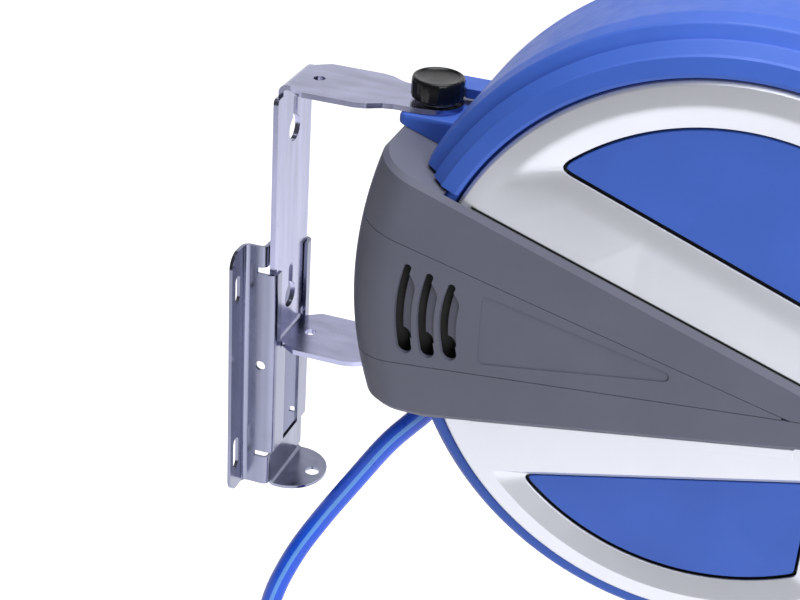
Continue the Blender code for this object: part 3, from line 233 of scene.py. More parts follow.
def make_camera():
    """The camera, with its axes built from the pan, the tilt down and the roll."""
    level = Vector((math.cos(CAMERA_PAN), math.sin(CAMERA_PAN), 0.0))
    ahead = Vector(
        (
            -math.sin(CAMERA_PAN) * math.cos(CAMERA_DOWN),
            math.cos(CAMERA_PAN) * math.cos(CAMERA_DOWN),
            -math.sin(CAMERA_DOWN),
        )
    )
    upright = level.cross(ahead)
    right = math.cos(CAMERA_ROLL) * level + math.sin(CAMERA_ROLL) * upright
    up = math.cos(CAMERA_ROLL) * upright - math.sin(CAMERA_ROLL) * level
    data = bpy.data.cameras.new("camera")
    data.lens = CAMERA_LENS
    data.sensor_width = 36.0
    data.clip_start = 0.05
    camera = bpy.data.objects.new("camera", data)
    matrix = Matrix((right, up, -ahead)).transposed().to_4x4()
    matrix.translation = CAMERA_AT
    camera.matrix_world = matrix
    bpy.context.scene.collection.objects.link(camera)
    bpy.context.scene.camera = camera


# Materials
def srgb(red, green, blue):
    """A linear colour from the three numbers of a screen colour."""
    out = []
    for value in (red, green, blue):
        share = value / 255
        out.append(share / 12.92 if share <= 0.04045 else ((share + 0.055) / 1.055) ** 2.4)
    return tuple(out)


class Nodes:
    """A short way to add and join the nodes of one material."""

    def __init__(self, name):
        self.material = bpy.data.materials.new(name)
        self.material.use_nodes = True
        self.tree = self.material.node_tree
        self.shader = self.tree.nodes["Principled BSDF"]
        coordinates = self.add("ShaderNodeTexCoord")
        self.place = coordinates.outputs["Object"]

    def add(self, kind, **settings):
        node = self.tree.nodes.new(kind)
        for key, value in settings.items():
            setattr(node, key, value)
        return node

    def join(self, output, target):
        self.tree.links.new(output, target)

    def stretched(self, scale):
        mapping = self.add("ShaderNodeMapping")
        mapping.inputs["Scale"].default_value = scale
        self.join(self.place, mapping.inputs["Vector"])
        return mapping.outputs["Vector"]

    def noise(self, scale, detail=3.0, stretch=(1, 1, 1), distortion=0.0):
        node = self.add("ShaderNodeTexNoise")
        node.inputs["Scale"].default_value = scale
        node.inputs["Detail"].default_value = detail
        node.inputs["Distortion"].default_value = distortion
        self.join(self.stretched(stretch), node.inputs["Vector"])
        return node.outputs["Fac"]

    def ramp(self, fac, stops):
        node = self.add("ShaderNodeValToRGB")
        while len(node.color_ramp.elements) < len(stops):
            node.color_ramp.elements.new(0.5)
        for element, (spot, colour) in zip(node.color_ramp.elements, stops):
            element.position = spot
            element.color = (*colour, 1.0)
        self.join(fac, node.inputs["Fac"])
        return node.outputs["Color"]

    def span(self, fac, low, high):
        """Spreads the midtones of a noise over the numbers from low to high."""
        node = self.add("ShaderNodeMapRange")
        node.inputs["From Min"].default_value = MIDTONES[0]
        node.inputs["From Max"].default_value = MIDTONES[1]
        node.inputs["To Min"].default_value = low
        node.inputs["To Max"].default_value = high
        self.join(fac, node.inputs["Value"])
        return node.outputs["Result"]

    def bump(self, heights, distance, strength=1.0, normal=None):
        node = self.add("ShaderNodeBump")
        node.inputs["Distance"].default_value = distance
        node.inputs["Strength"].default_value = strength
        self.join(heights, node.inputs["Height"])
        if normal:
            self.join(normal, node.inputs["Normal"])
        return node.outputs["Normal"]

    def feed(self, **sockets):
        """Joins outputs to the shader's sockets, or sets them where a number is given."""
        for key, value in sockets.items():
            socket = self.shader.inputs[key.replace("_", " ")]
            if isinstance(value, (int, float)):
                socket.default_value = value
            else:
                self.join(value, socket)


def shades(colour, spread):
    """Two stops of a ramp, a little darker and a little lighter than a colour."""
    return [
        (MIDTONES[0], [c * (1 - spread) for c in colour]),
        (MIDTONES[1], [c * (1 + spread) for c in colour]),
    ]


def plastic(
    name, colour, roughness, grain=0.00002, grain_scale=2600.0, spread=0.05,
    metal=0.0, uneven=0.055,
):
    """Moulded plastic: slow colour drift, uneven gloss and a fine moulded grain."""
    n = Nodes(name)
    drift = n.noise(22.0, 4.0)
    gloss = n.noise(90.0, 5.0, distortion=0.4)
    fine = n.noise(grain_scale, 2.0)
    soft = n.noise(160.0, 2.0)
    low = n.bump(soft, grain, 0.3)
    n.feed(
        Base_Color=n.ramp(drift, shades(colour, spread)),
        Roughness=n.span(gloss, roughness - uneven, roughness + uneven),
        Normal=n.bump(fine, grain, 0.6, low),
        Metallic=metal,
        Specular_IOR_Level=0.3,
    )
    return n.material


def sheet_zinc(name, colour, streak):
    """Zinc plated sheet: streaks from the rolling, a cloudy passivation and small scratches."""
    n = Nodes(name)
    rolled = n.noise(130.0, 5.0, streak, 0.15)
    cloud = n.noise(38.0, 4.0, distortion=1.2)
    mixed = n.add("ShaderNodeMix", data_type="FLOAT")
    mixed.inputs["Factor"].default_value = 0.3
    n.join(rolled, mixed.inputs[2])
    n.join(cloud, mixed.inputs[3])
    dark = [0.80 * c for c in colour]
    bright = [1.14 * c for c in colour]
    scratches = n.noise(900.0, 3.0, (1.0, 1.0, 0.05))
    n.feed(
        Base_Color=n.ramp(mixed.outputs[0], [(0.34, dark), (0.5, colour), (0.66, bright)]),
        Roughness=n.span(cloud, 0.15, 0.28),
        Normal=n.bump(scratches, 0.00002, 0.35),
        Metallic=1.0,
    )
    return n.material


def turned_metal(name, colour, roughness):
    """Turned or drawn metal: fine tool marks and slight staining."""
    n = Nodes(name)
    marks = n.noise(1400.0, 3.0, (0.2, 1.0, 1.0))
    stain = n.noise(60.0, 4.0, distortion=0.8)
    n.feed(
        Base_Color=n.ramp(stain, shades(colour, 0.14)),
        Roughness=n.span(stain, roughness - 0.06, roughness + 0.10),
        Normal=n.bump(marks, 0.00003, 0.4),
        Metallic=1.0,
    )
    return n.material


def rubber(name, colour):
    n = Nodes(name)
    fine = n.noise(1800.0, 3.0)
    dust = n.noise(70.0, 4.0)
    n.feed(
        Base_Color=n.ramp(dust, shades(colour, 0.18)),
        Roughness=n.span(dust, 0.48, 0.62),
        Normal=n.bump(fine, 0.00003, 0.5),
        IOR=1.5,
    )
    return n.material


def hose_skin(name, colour):
    """Extruded soft plastic: glossy, with faint rings from the extruder and a little haze."""
    n = Nodes(name)
    rings = n.noise(420.0, 2.0)
    haze = n.noise(55.0, 4.0)
    n.feed(
        Base_Color=n.ramp(haze, shades(colour, 0.05)),
        Roughness=n.span(haze, 0.26, 0.38),
        Normal=n.bump(rings, 0.00003, 0.35),
        IOR=1.5,
    )
    return n.material


make_camera()
# Both zinc colours are darker than bare plating, the wall bracket's sheet most: painted shade
# standing in for the dark surroundings the metal would reflect
ZINC_PAINTED_DARK = sheet_zinc("zinc_plated_sheet", srgb(132, 135, 156), (1.0, 1.0, 0.03))
ZINC_STRIP_PAINTED_DARK = sheet_zinc("zinc_strip_painted_dark", srgb(160, 162, 190), (0.25, 1.0, 0.08))
BLUE = plastic("blue_plastic", srgb(62, 98, 190), 0.48)
GREY = plastic("grey_plastic", srgb(96, 98, 114), 0.50, 0.00004, 1800.0)
SILVER = plastic("silver_plastic", srgb(214, 216, 225), 0.39, 0.000004, 3200.0, 0.02, 0.62, 0.012)
BLACK = plastic("black_plastic", srgb(17, 18, 21), 0.27, 0.00001)
# A darker copy of the black plastic, a painted shade: the louvre behind the vents looks as dark as
# their shadowed insides, and the belt's painted gap shadow uses it too
SHADE_BLACK = plastic("shade_black_plastic", srgb(9, 9, 11), 0.62, 0.00001)
INNER = plastic("drum_plastic", srgb(70, 72, 80), 0.5, 0.00004, 1500.0)
STEEL = turned_metal("bright_steel", srgb(196, 196, 202), 0.28)
SPRING = turned_metal("spring_steel", srgb(120, 122, 134), 0.34)
BRASS = turned_metal("brass", srgb(206, 172, 96), 0.28)
RUBBER = rubber("black_rubber", srgb(30, 31, 34))
HOSE = hose_skin("hose_blue", srgb(16, 84, 222))
# Lighter blue for the hose's painted highlight
HOSE_HIGHLIGHT = hose_skin("hose_painted_highlight", srgb(96, 156, 238))


# Pieces
def piece(name, bm, material, slot, nodes=(), body=BODY, sharp=SHARP):
    """An object from a bmesh drawn in world metres, which rides a body and replaces nodes."""
    bmesh.ops.remove_doubles(bm, verts=bm.verts, dist=MERGE)
    bmesh.ops.recalc_face_normals(bm, faces=bm.faces)
    mesh = bpy.data.meshes.new(name)
    bm.to_mesh(mesh)
    bm.free()
    mesh.materials.append(material)
    obj = bpy.data.objects.new(name, mesh)
    bpy.context.scene.collection.objects.link(obj)
    smooth(mesh, sharp)
    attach(obj, body)
    if nodes:
        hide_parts(*nodes)
    return obj


def smooth(mesh, sharp=SHARP):
    mesh.shade_smooth()
    mesh.set_sharp_from_angle(angle=math.radians(sharp))


def applied(obj):
    """Makes the result of an object's modifiers its mesh."""
    graph = bpy.context.evaluated_depsgraph_get()
    mesh = bpy.data.meshes.new_from_object(obj.evaluated_get(graph))
    old = obj.data
    obj.modifiers.clear()
    obj.data = mesh
    mesh.name = obj.name
    bpy.data.meshes.remove(old)
    smooth(mesh)


def carve(obj, tools, operation="DIFFERENCE"):
    """Cuts forms out of an object, or joins them to it."""
    made = []
    for bm in tools:
        bmesh.ops.recalc_face_normals(bm, faces=bm.faces)
        mesh = bpy.data.meshes.new("tool")
        bm.to_mesh(mesh)
        bm.free()
        tool = bpy.data.objects.new("tool", mesh)
        bpy.context.scene.collection.objects.link(tool)
        modifier = obj.modifiers.new("carve", "BOOLEAN")
        modifier.operation = operation
        modifier.solver = "EXACT"
        modifier.object = tool
        made.append(tool)
    applied(obj)
    for tool in made:
        mesh = tool.data
        bpy.data.objects.remove(tool)
        bpy.data.meshes.remove(mesh)


def rounded(obj, width, segments=2, angle=40.0):
    """Rounds an object's edges and keeps its flat faces flat in shading."""
    bevel = obj.modifiers.new("rounded", "BEVEL")
    bevel.width = width
    bevel.segments = segments
    bevel.limit_method = "ANGLE"
    bevel.angle_limit = math.radians(angle)
    bevel.miter_outer = "MITER_ARC"
    level = obj.modifiers.new("weighted", "WEIGHTED_NORMAL")
    level.keep_sharp = True
    level.weight = 60
    return obj


def skin(obj, thickness, offset=0.0):
    solidify = obj.modifiers.new("skin", "SOLIDIFY")
    solidify.thickness = thickness
    solidify.offset = offset
    solidify.use_even_offset = True
    return obj


# Forms, drawn in world metres
def box(low, high):
    bm = bmesh.new()
    bmesh.ops.create_cube(bm, size=1.0)
    size = Vector(high) - Vector(low)
    bmesh.ops.scale(bm, vec=size, verts=bm.verts)
    bmesh.ops.translate(bm, vec=(Vector(high) + Vector(low)) / 2, verts=bm.verts)
    return bm


def rod(start, end, radius, sides=FINE):
    start, end = Vector(start), Vector(end)
    bm = bmesh.new()
    length = (end - start).length
    bmesh.ops.create_cone(
        bm, cap_ends=True, segments=sides, radius1=radius, radius2=radius, depth=length
    )
    turn = (end - start).to_track_quat("Z", "Y").to_matrix()
    bmesh.ops.rotate(bm, matrix=turn, verts=bm.verts)
    bmesh.ops.translate(bm, vec=(start + end) / 2, verts=bm.verts)
    return bm


def cross_rod(centre, half_length, radius, sides):
    """A rod square to the middle plane, given by its centre."""
    reach = Vector((0, half_length, 0))
    return rod(centre - reach, centre + reach, radius, sides)


def pivot_rod(low, high, radius, sides=FINE):
    """A rod on the swivel axis, between two heights."""
    return rod((PIVOT_X, 0, low), (PIVOT_X, 0, high), radius, sides)


def prism(outline, axis, low, high):
    """A closed outline pushed along X, Y or Z; its points give the other two coordinates."""
    bm = bmesh.new()
    spread = {"X": lambda p: (low, *p), "Y": lambda p: (p[0], low, p[1]), "Z": lambda p: (*p, low)}
    face = bm.faces.new([bm.verts.new(spread[axis](p)) for p in outline])
    push = Vector([high - low if axis == name else 0.0 for name in "XYZ"])
    made = bmesh.ops.extrude_face_region(bm, geom=[face])["geom"]
    bmesh.ops.translate(bm, vec=push, verts=[v for v in made if isinstance(v, bmesh.types.BMVert)])
    return bm


def arc(centre, radius, start, end, steps):
    angles = [start + (end - start) * k / steps for k in range(steps + 1)]
    return [(centre[0] + radius * math.cos(a), centre[1] + radius * math.sin(a)) for a in angles]


def circle(centre, radius, steps=FINE):
    return arc(centre, radius, 0.0, TURN, steps)[:-1]


def capsule(start, end, radius, steps=16):
    """The outline of a slot with round ends, from one end's centre to the other's."""
    along = math.atan2(end[1] - start[1], end[0] - start[0])
    quarter = math.pi / 2
    return arc(end, radius, along - quarter, along + quarter, steps) + arc(
        start, radius, along + quarter, along + 3 * quarter, steps
    )


def side_prism(outline, side, inner, outer):
    """An outline in XZ on one side of the reel, between two distances from the middle plane."""
    return prism(outline, "Y", *sorted((side * inner, side * outer)))


def joined(bm, one, two):
    """A closed band of faces between two rings of as many points."""
    for k in range(len(one)):
        nxt = (k + 1) % len(one)
        bm.faces.new((one[k], one[nxt], two[nxt], two[k]))


def loft(bm, rings):
    """A form through rings of points, with a face on each end."""
    for one, two in zip(rings, rings[1:]):
        joined(bm, one, two)
    bm.faces.new(rings[0])
    bm.faces.new(rings[-1])


def ring_section(outer, inner, high, low):
    """The section of a plain ring, for lathe."""
    return [(outer, high), (outer, low), (inner, low), (inner, high)]


def lathe(profile, at, axis, steps=FINE, closed=False):
    """A turned form; profile is (radius, height along the axis)."""
    turn = Vector(axis).to_track_quat("Z", "Y")
    at = Vector(at)
    bm = bmesh.new()
    spots = [bm.verts.new(at + turn @ Vector((r, 0.0, h))) for r, h in profile]
    pairs = list(zip(spots, spots[1:]))
    if closed:
        pairs.append((spots[-1], spots[0]))
    geometry = spots + [bm.edges.new(pair) for pair in pairs]
    bmesh.ops.spin(
        bm, geom=geometry, cent=at, axis=Vector(axis), angle=TURN, steps=steps, use_merge=True
    )
    bmesh.ops.remove_doubles(bm, verts=bm.verts, dist=MERGE)
    return bm


def fillet(points, corners, steps=6):
    """Rounds the named corners of an outline."""
    out = []
    for k, point in enumerate(points):
        if k not in corners:
            out.append(tuple(point))
            continue
        here = Vector(point)
        before, after = Vector(points[k - 1]), Vector(points[(k + 1) % len(points)])
        room = min((before - here).length, (after - here).length) * 0.48
        back, ahead = (before - here).normalized(), (after - here).normalized()
        half_angle = math.acos(max(-1.0, min(1.0, back.dot(ahead)))) / 2
        cut = min(corners[k] / math.tan(half_angle), room) if half_angle < 1.5 else 0.0
        for j in range(steps + 1):
            t = j / steps
            a = here + back * cut * (1 - t)
            b = here + ahead * cut * t
            out.append(tuple(a * (1 - t) + b * t))
    return out


def softened(points, radius, steps=3, ends=True):
    """Rounds all corners of an outline, or all but its two ends."""
    first, last = (0, len(points)) if ends else (1, len(points) - 1)
    return fillet(points, {k: radius for k in range(first, last)}, steps)


def filled(outlines):
    """A flat face in XY with its outline first and then its holes."""
    bm = bmesh.new()
    edges = []
    for outline in outlines:
        verts = [bm.verts.new((*p, 0.0)) for p in outline]
        edges += [bm.edges.new((a, b)) for a, b in zip(verts, verts[1:] + verts[:1])]
    bmesh.ops.triangle_fill(bm, use_beauty=True, edges=edges)
    return bm


def around(radius, angle, y=0.0):
    """A world point at a radius and an angle about the axle; 0 is +X and 90 degrees is up."""
    return AXLE + Vector((radius * math.cos(angle), y, radius * math.sin(angle)))


def bisect(bm, point, normal):
    geometry = bm.verts[:] + bm.edges[:] + bm.faces[:]
    bmesh.ops.bisect_plane(
        bm, geom=geometry, dist=MERGE, plane_co=point, plane_no=normal, clear_outer=True
    )
    bmesh.ops.holes_fill(bm, edges=[e for e in bm.edges if e.is_boundary])


def keep_above(bm, line):
    bisect(bm, (0, 0, line[0]), Vector((line[1], 0, -1)))


def moved(line, rise):
    """The same line moved square to itself, up if rise is positive."""
    return (line[0] + rise * math.hypot(1, line[1]), line[1])


def lengths_along(spots):
    """How far along a line of points each of them is."""
    lengths = [0.0]
    for a, b in zip(spots, spots[1:]):
        lengths.append(lengths[-1] + (b - a).length)
    return lengths


def spaced(spots, lengths, count):
    """A given count of points, evenly spaced along a line of points and without its end."""
    out, k = [], 0
    for j in range(count):
        goal = lengths[-1] * j / count
        while lengths[k + 1] < goal:
            k += 1
        share = (goal - lengths[k]) / (lengths[k + 1] - lengths[k])
        out.append(spots[k].lerp(spots[k + 1], share))
    return out


def curve_point(a, b, c, d, t):
    """A point between b and c on the smooth curve through four points."""
    straight = 2 * b + (c - a) * t
    bend = (2 * a - 5 * b + 4 * c - d) * t * t
    return 0.5 * (straight + bend + (3 * b - a - 3 * c + d) * t * t * t)


def smooth_path(route, step):
    """Points a step apart on a smooth curve through the route's own points."""
    spots = [Vector(p) for p in route]
    spots = [2 * spots[0] - spots[1], *spots, 2 * spots[-1] - spots[-2]]
    dense = []
    for four in zip(spots, spots[1:], spots[2:], spots[3:]):
        dense += [curve_point(*four, k / 40) for k in range(40)]
    dense.append(spots[-2])
    lengths = lengths_along(dense)
    return [*spaced(dense, lengths, max(2, round(lengths[-1] / step))), dense[-1]]


def mesh_tube(points, radius, sides=24, towards=None):
    """A round tube along points; its first side faces towards, as near as the path lets it."""
    points = [Vector(p) for p in points]
    bm = bmesh.new()
    rings = []
    side = None
    for k, spot in enumerate(points):
        ahead = (points[min(k + 1, len(points) - 1)] - points[max(k - 1, 0)]).normalized()
        goal = towards if towards is not None else (side or ahead.orthogonal())
        side = (goal - goal.dot(ahead) * ahead).normalized()
        other = ahead.cross(side)
        ring = []
        for j in range(sides):
            angle = TURN * j / sides
            offset = math.cos(angle) * side + math.sin(angle) * other
            ring.append(bm.verts.new(spot + radius * offset))
        rings.append(ring)
    loft(bm, rings)
    return bm


# Wall bracket and swivel bracket
def wall_cells(bm, path, low, high):
    """Upright cells of the bracket's sheet along a path in plan."""
    for (xa, ya), (xb, yb) in zip(path, path[1:]):
        corners = [(xa, ya, low), (xb, yb, low), (xb, yb, high), (xa, ya, high)]
        bm.faces.new([bm.verts.new(c) for c in corners])


def wall_web(x, tab_half):
    """The plan of a web, which closes the channel at a distance x from the wall."""
    side = -CHANNEL_SIDE
    corner = arc((x - WEB_BEND, side + WEB_BEND), WEB_BEND, -math.pi / 2, 0.0, 10)
    return [(CHANNEL_FOOT, side), *corner, *[(x, y) for y in tab_half]]


def wall_tab(bm, tab_angles, tab_half):
    """The tab, folded forward from the lower web; its edge is a half circle."""
    fold = arc((LOWER_WEB_X + WEB_BEND, WALL_BOTTOM), WEB_BEND, math.pi, 1.5 * math.pi, 8)
    rows = [[(x, y, z) for y in tab_half] for x, z in fold]
    end = [TAB_RADIUS + TAB_RADIUS * math.cos(a) for a in tab_angles]
    rows.append([(x, y, fold[-1][1]) for x, y in zip(end, tab_half)])
    for lower, upper in zip(rows, rows[1:]):
        for a, b, c, d in zip(lower, lower[1:], upper[1:], upper):
            bm.faces.new([bm.verts.new(p) for p in (a, b, c, d)])


def wall_holes():
    """The four screw slots, the hole across the channel and the hole in the tab."""
    tools = []
    for y in (-SLOT_Y, SLOT_Y):
        for z, half_length, radius in WALL_SLOTS:
            ends = (y, z - half_length), (y, z + half_length)
            tools.append(prism(capsule(*ends, radius), "X", -0.01, 0.01))
    tools.append(cross_rod(CROSS_HOLE, 0.04, 0.003, 48))
    hole = (TAB_HOLE_X, 0, -0.09), (TAB_HOLE_X, 0, -0.075)
    tools.append(rod(*hole, TAB_HOLE_RADIUS, 64))
    return tools


def wall_bracket():
    """The near half of the sheet at mid thickness, cell by cell, mirrored about y = 0."""
    bm = bmesh.new()
    side = -CHANNEL_SIDE
    bend = arc((0.005, -FLANGE_BEND), 0.004, math.pi, math.pi / 2, 10)
    flange = [(WALL_SHEET / 2, -FLANGE_EDGE), *bend, (CHANNEL_FOOT, side)]
    fold = arc((LIP_X - LIP_BEND, side + LIP_BEND), LIP_BEND, -math.pi / 2, 0.0, 10)
    lip = [flange[-1], *fold, (LIP_X, -0.019)]
    wide_lip = [*lip, (LIP_X, -0.011)]
    seat = ARM_BOTTOM - STRIP / 2 - GAP
    tab_angles = [math.radians(a) for a in (84, 75, 66, 55, 44, 33, 22, 11, 0)]
    tab_half = [-TAB_RADIUS * math.sin(a) for a in tab_angles]
    levels = [WALL_BOTTOM, LIP_BOTTOM - LANCE, LIP_BOTTOM, seat, LIP_TOP, LIP_TOP + LANCE, WALL_TOP]
    for low, high in zip(levels, levels[1:]):
        wall_cells(bm, flange, low, high)
    wall_cells(bm, wall_web(LOWER_WEB_X, tab_half), levels[0], levels[1])
    wall_cells(bm, wide_lip, levels[2], levels[3])
    wall_cells(bm, lip, levels[3], levels[4])
    wall_cells(bm, wall_web(UPPER_WEB_X, tab_half), levels[5], levels[6])
    wall_tab(bm, tab_angles, tab_half)
    bmesh.ops.remove_doubles(bm, verts=bm.verts, dist=0.00001)
    edge = 0.0005 - FLANGE_EDGE
    corners = [v for v in bm.verts if v.co.y < edge and len(v.link_edges) == 2]
    bmesh.ops.bevel(bm, geom=corners, affect="VERTICES", offset=0.009, segments=10, profile=0.5)
    obj = piece("wall_bracket_sheet", bm, ZINC_PAINTED_DARK, "zinc", ["wall_bracket"], "wall")
    half = obj.modifiers.new("mirror", "MIRROR")
    half.use_axis = (False, True, False)
    half.merge_threshold = 0.00001
    skin(obj, WALL_SHEET)
    carve(obj, wall_holes())
    rounded(obj, 0.00035, 2, 50.0)


def on_arm(x):
    """How far from the middle of the flat blank a place on an arm is."""
    return BEND_END + x - PLATE_X - STRIP_BEND


def strip_outline():
    """The outline of the flat blank, the same at both ends and on both sides."""
    pivot = on_arm(PIVOT_X)
    wing = STRIP_STRAIGHT - 0.002
    quarter = [
        (wing, WING_HALF),
        (wing, ROOT_HALF),
        (on_arm(0.0215), ROOT_HALF),
        (on_arm(0.0300), ARM_HALF),
        (on_arm(0.0600), ARM_HALF),
        (on_arm(0.0665), ARM_HALF - 0.0015),
        (on_arm(0.0740), NECK_HALF + 0.0015),
        (on_arm(0.0800), NECK_HALF),
        (pivot - 0.004, NECK_HALF - 0.0005),
        *arc((pivot, 0.0), ARM_END_RADIUS, math.radians(80), 0.0, 24),
    ]
    half = quarter + [(s, -y) for s, y in reversed(quarter[:-1])]
    count = len(half)
    corners = {}
    for k, radius in {0: 0.004, 3: 0.004, 5: 0.006, 6: 0.006, 7: 0.006}.items():
        for start in (0, count):
            corners[start + k] = radius
            corners[start + count - 1 - k] = radius
    return fillet(half + [(-s, -y) for s, y in half], corners, 8)


def strip_holes():
    """The pivot holes, a small hole in each arm, and the two keyholes."""
    holes = [circle((side * on_arm(PIVOT_X), 0.0), ARM_BORE, 64) for side in (1, -1)]
    holes += [circle((side * on_arm(0.0315), 0.0), 0.0033, 48) for side in (1, -1)]
    notch = math.asin(KEYHOLE_SLOT / KEYHOLE_RADIUS)
    for height in KEYHOLES:
        centre = height - STRIP_MIDDLE
        round_part = arc((centre, 0.0), KEYHOLE_RADIUS, notch, TURN - notch, 48)
        slot_end = arc((centre + 0.0175, 0.0), KEYHOLE_SLOT, -math.pi / 2, math.pi / 2, 16)
        holes.append(round_part + slot_end)
    return holes


def folded(s, y):
    """Where a point of the flat blank lies when both arms are bent forward."""
    side = 1 if s > 0 else -1
    reach = abs(s)
    if reach <= STRIP_STRAIGHT:
        x, rise = PLATE_X, reach
    elif reach <= BEND_END:
        angle = (reach - STRIP_STRAIGHT) / STRIP_BEND
        x = PLATE_X + STRIP_BEND * (1 - math.cos(angle))
        rise = STRIP_STRAIGHT + STRIP_BEND * math.sin(angle)
    else:
        x, rise = PLATE_X + STRIP_BEND + reach - BEND_END, STRIP_STRAIGHT + STRIP_BEND
    return (x, y, STRIP_MIDDLE + side * rise)


def swivel_bracket():
    """A flat blank, cut to its outline and holes and then bent twice into a U."""
    bm = filled([strip_outline(), *strip_holes()])
    cuts = [STRIP_STRAIGHT + BEND_LENGTH * k / 10 for k in range(11)]
    for s in [side * cut for side in (1, -1) for cut in cuts]:
        geometry = bm.verts[:] + bm.edges[:] + bm.faces[:]
        bmesh.ops.bisect_plane(bm, geom=geometry, plane_co=(s, 0, 0), plane_no=(1, 0, 0))
    for vert in bm.verts:
        vert.co = folded(vert.co.x, vert.co.y)
    nodes = ["swivel_bracket"]
    obj = piece("swivel_bracket_strip", bm, ZINC_STRIP_PAINTED_DARK, "zinc", nodes, "bracket")
    skin(obj, STRIP)
    applied(obj)
    rounded(obj, 0.0004, 2, 50.0)


# Swivel pivot
def clamp_knob():
    """A knob with faint broad flutes and a dished top."""
    columns, lobes, flute = 200, 20, 0.0002
    rows = [(PIVOT_BORE, KNOB_HOLE_TOP, 0.0), (PIVOT_BORE, KNOB_BOTTOM, 0.0)]
    rows += [
        (KNOB_RADIUS - 0.0012, KNOB_BOTTOM, 0.0),
        (KNOB_RADIUS - 0.0004, KNOB_BOTTOM + 0.0003, flute),
        (KNOB_RADIUS, KNOB_BOTTOM + 0.0012, flute),
        (KNOB_RADIUS, KNOB_TOP - 0.0020, flute),
        (KNOB_RADIUS - 0.0002, KNOB_TOP - 0.0011, flute / 2),
    ]
    for inwards, down in (
        (0.0006, 0.0004), (0.0011, 0.0001), (0.0016, 0.0), (0.0021, 0.0002),
        (0.0026, 0.0007), (0.0034, 0.0010),
    ):
        rows.append((KNOB_RADIUS - inwards, KNOB_TOP - down, 0.0))
    rows += [(KNOB_RADIUS * 0.5, KNOB_TOP - 0.0015, 0.0), (KNOB_RADIUS * 0.2, KNOB_TOP - 0.0017, 0.0)]
    bm = bmesh.new()
    rings = []
    for radius, z, depth in rows:
        spots = []
        for k in range(columns):
            angle = TURN * k / columns
            r = radius - depth * (0.5 - 0.5 * math.cos(lobes * angle))
            spots.append(bm.verts.new((PIVOT_X + r * math.cos(angle), r * math.sin(angle), z)))
        rings.append(spots)
    loft(bm, rings)
    piece("clamp_knob_body", bm, BLACK, "black_plastic", ["clamp_knob"], "knob", 40.0)


def pivot_neck():
    """The bar that the upper arm sits on, with a boss below it that takes the stud."""
    half, corner = NECK_WIDTH / 2, 0.004
    left, right = PIVOT_X - 0.0155, 0.130
    near = arc((left + corner, -half + corner), corner, 1.5 * math.pi, math.pi, 12)
    outline = [(right, -half), *near, *[(x, -y) for x, y in reversed(near)], (right, half)]
    bar = prism(outline, "Z", 0.140, NECK_TOP)
    top_edges = []
    for edge in bar.edges:
        a, b = (v.co for v in edge.verts)
        if min(a.z, b.z) > NECK_TOP - GAP and min(a.x, b.x) < right - 0.001:
            top_edges.append(edge)
    bmesh.ops.bevel(
        bar, geom=top_edges, offset=NECK_CHAMFER, segments=4, profile=0.6, affect="EDGES"
    )
    keep_above(bar, (TOP_LINE[0] + GAP, TOP_LINE[1]))
    obj = piece("pivot_neck_bar", bar, BLUE, "blue_plastic", ["pivot_neck"])
    carve(obj, [pivot_rod(BOSS_BOTTOM, NECK_TOP - 0.003, BOSS_RADIUS)], "UNION")
    guard = cross_rod(AXLE, 0.08, GUARD_RADIUS + 0.0005, RIM_STEPS)
    carve(obj, [guard, pivot_rod(BOSS_BOTTOM - 0.01, NECK_TOP + 0.01, PIVOT_BORE, 64)])
    rounded(obj, 0.0009, 4, 50.0)


# Housing
def bolt_centres():
    """Where the four bolts that hold the housing's halves cross the middle plane."""
    return [around(BOLT_CIRCLE, math.radians(degrees)) for degrees in BOLT_ANGLES]


def housing(word, side):
    """One half of the reel housing, split at the middle plane, with its round bead."""
    inner = RIM_RADIUS - SHELL - 0.0002
    wall = SIDE_WALL - SHELL
    profile = [
        (RIM_RADIUS, 0.047),
        (RIM_RADIUS, GAP / 2),
        (inner, GAP / 2),
        (inner, 0.047),
        (0.154, 0.0546),
        (0.150, wall),
        (AXLE_RADIUS + GAP, wall),
        (AXLE_RADIUS + GAP, SIDE_WALL),
        (0.1514, SIDE_WALL),
        (0.1525, BEAD),
        (0.1575, BEAD),
        (0.1615, 0.0535),
    ]
    radii = {0: 0.006, 9: 0.0012, 10: 0.003, 11: 0.004}
    bm = lathe(fillet(profile, radii, 6), AXLE, (0, side, 0), 192, True)
    nodes = [f"housing_{word}"]
    obj = piece(f"housing_shell_{word}", bm, BLUE, "blue_plastic", nodes)
    tools = [outlet_box((0.145, -0.0415, -0.0125), (0.175, 0.0415, 0.0125))]
    for centre in bolt_centres():
        ends = centre - Vector((0, 0.0559, 0)), centre + Vector((0, 0.07, 0))
        tools.append(rod(*ends, 0.0022, 24))
    if side < 0:
        tools.append(gland_rod(0.0092, -0.025, 0.02))
    carve(obj, tools)


def leaf(radius, chord, right, corner_radius):
    """A window outline about the axle: an arc above, a straight chord below, a right edge.

    chord is the line z = chord[0] + chord[1] * x. The count of points is always the same.
    """
    a, b = chord
    square = 1 + b * b
    root = math.sqrt((a * b) ** 2 - square * (a * a - radius * radius))
    tip_x = (-a * b - root) / square
    start = math.atan2(a + b * tip_x, tip_x)
    end = math.acos(right / radius)
    steps = 40
    top = arc((0.0, 0.0), radius, start, end, steps)
    low_right = (right, a + b * right)
    low = []
    for k in range(1, 20):
        x = right + (tip_x - right) * k / 20
        low.append((x, a + b * x))
    points = top + [low_right] + low
    corners = {0: corner_radius, steps: corner_radius, steps + 1: corner_radius}
    return wide_fillet(points, corners)


def rounding_end(points, k, way, reach, drop):
    """Where a corner's rounding ends on one side; the points it passes go into drop."""
    j, passed = k, 0.0
    while True:
        nxt = (j + way) % len(points)
        here, there = Vector(points[j]), Vector(points[nxt])
        length = (there - here).length
        if passed + length > reach:
            return here.lerp(there, (reach - passed) / length)
        passed += length
        j = nxt
        drop.add(j)


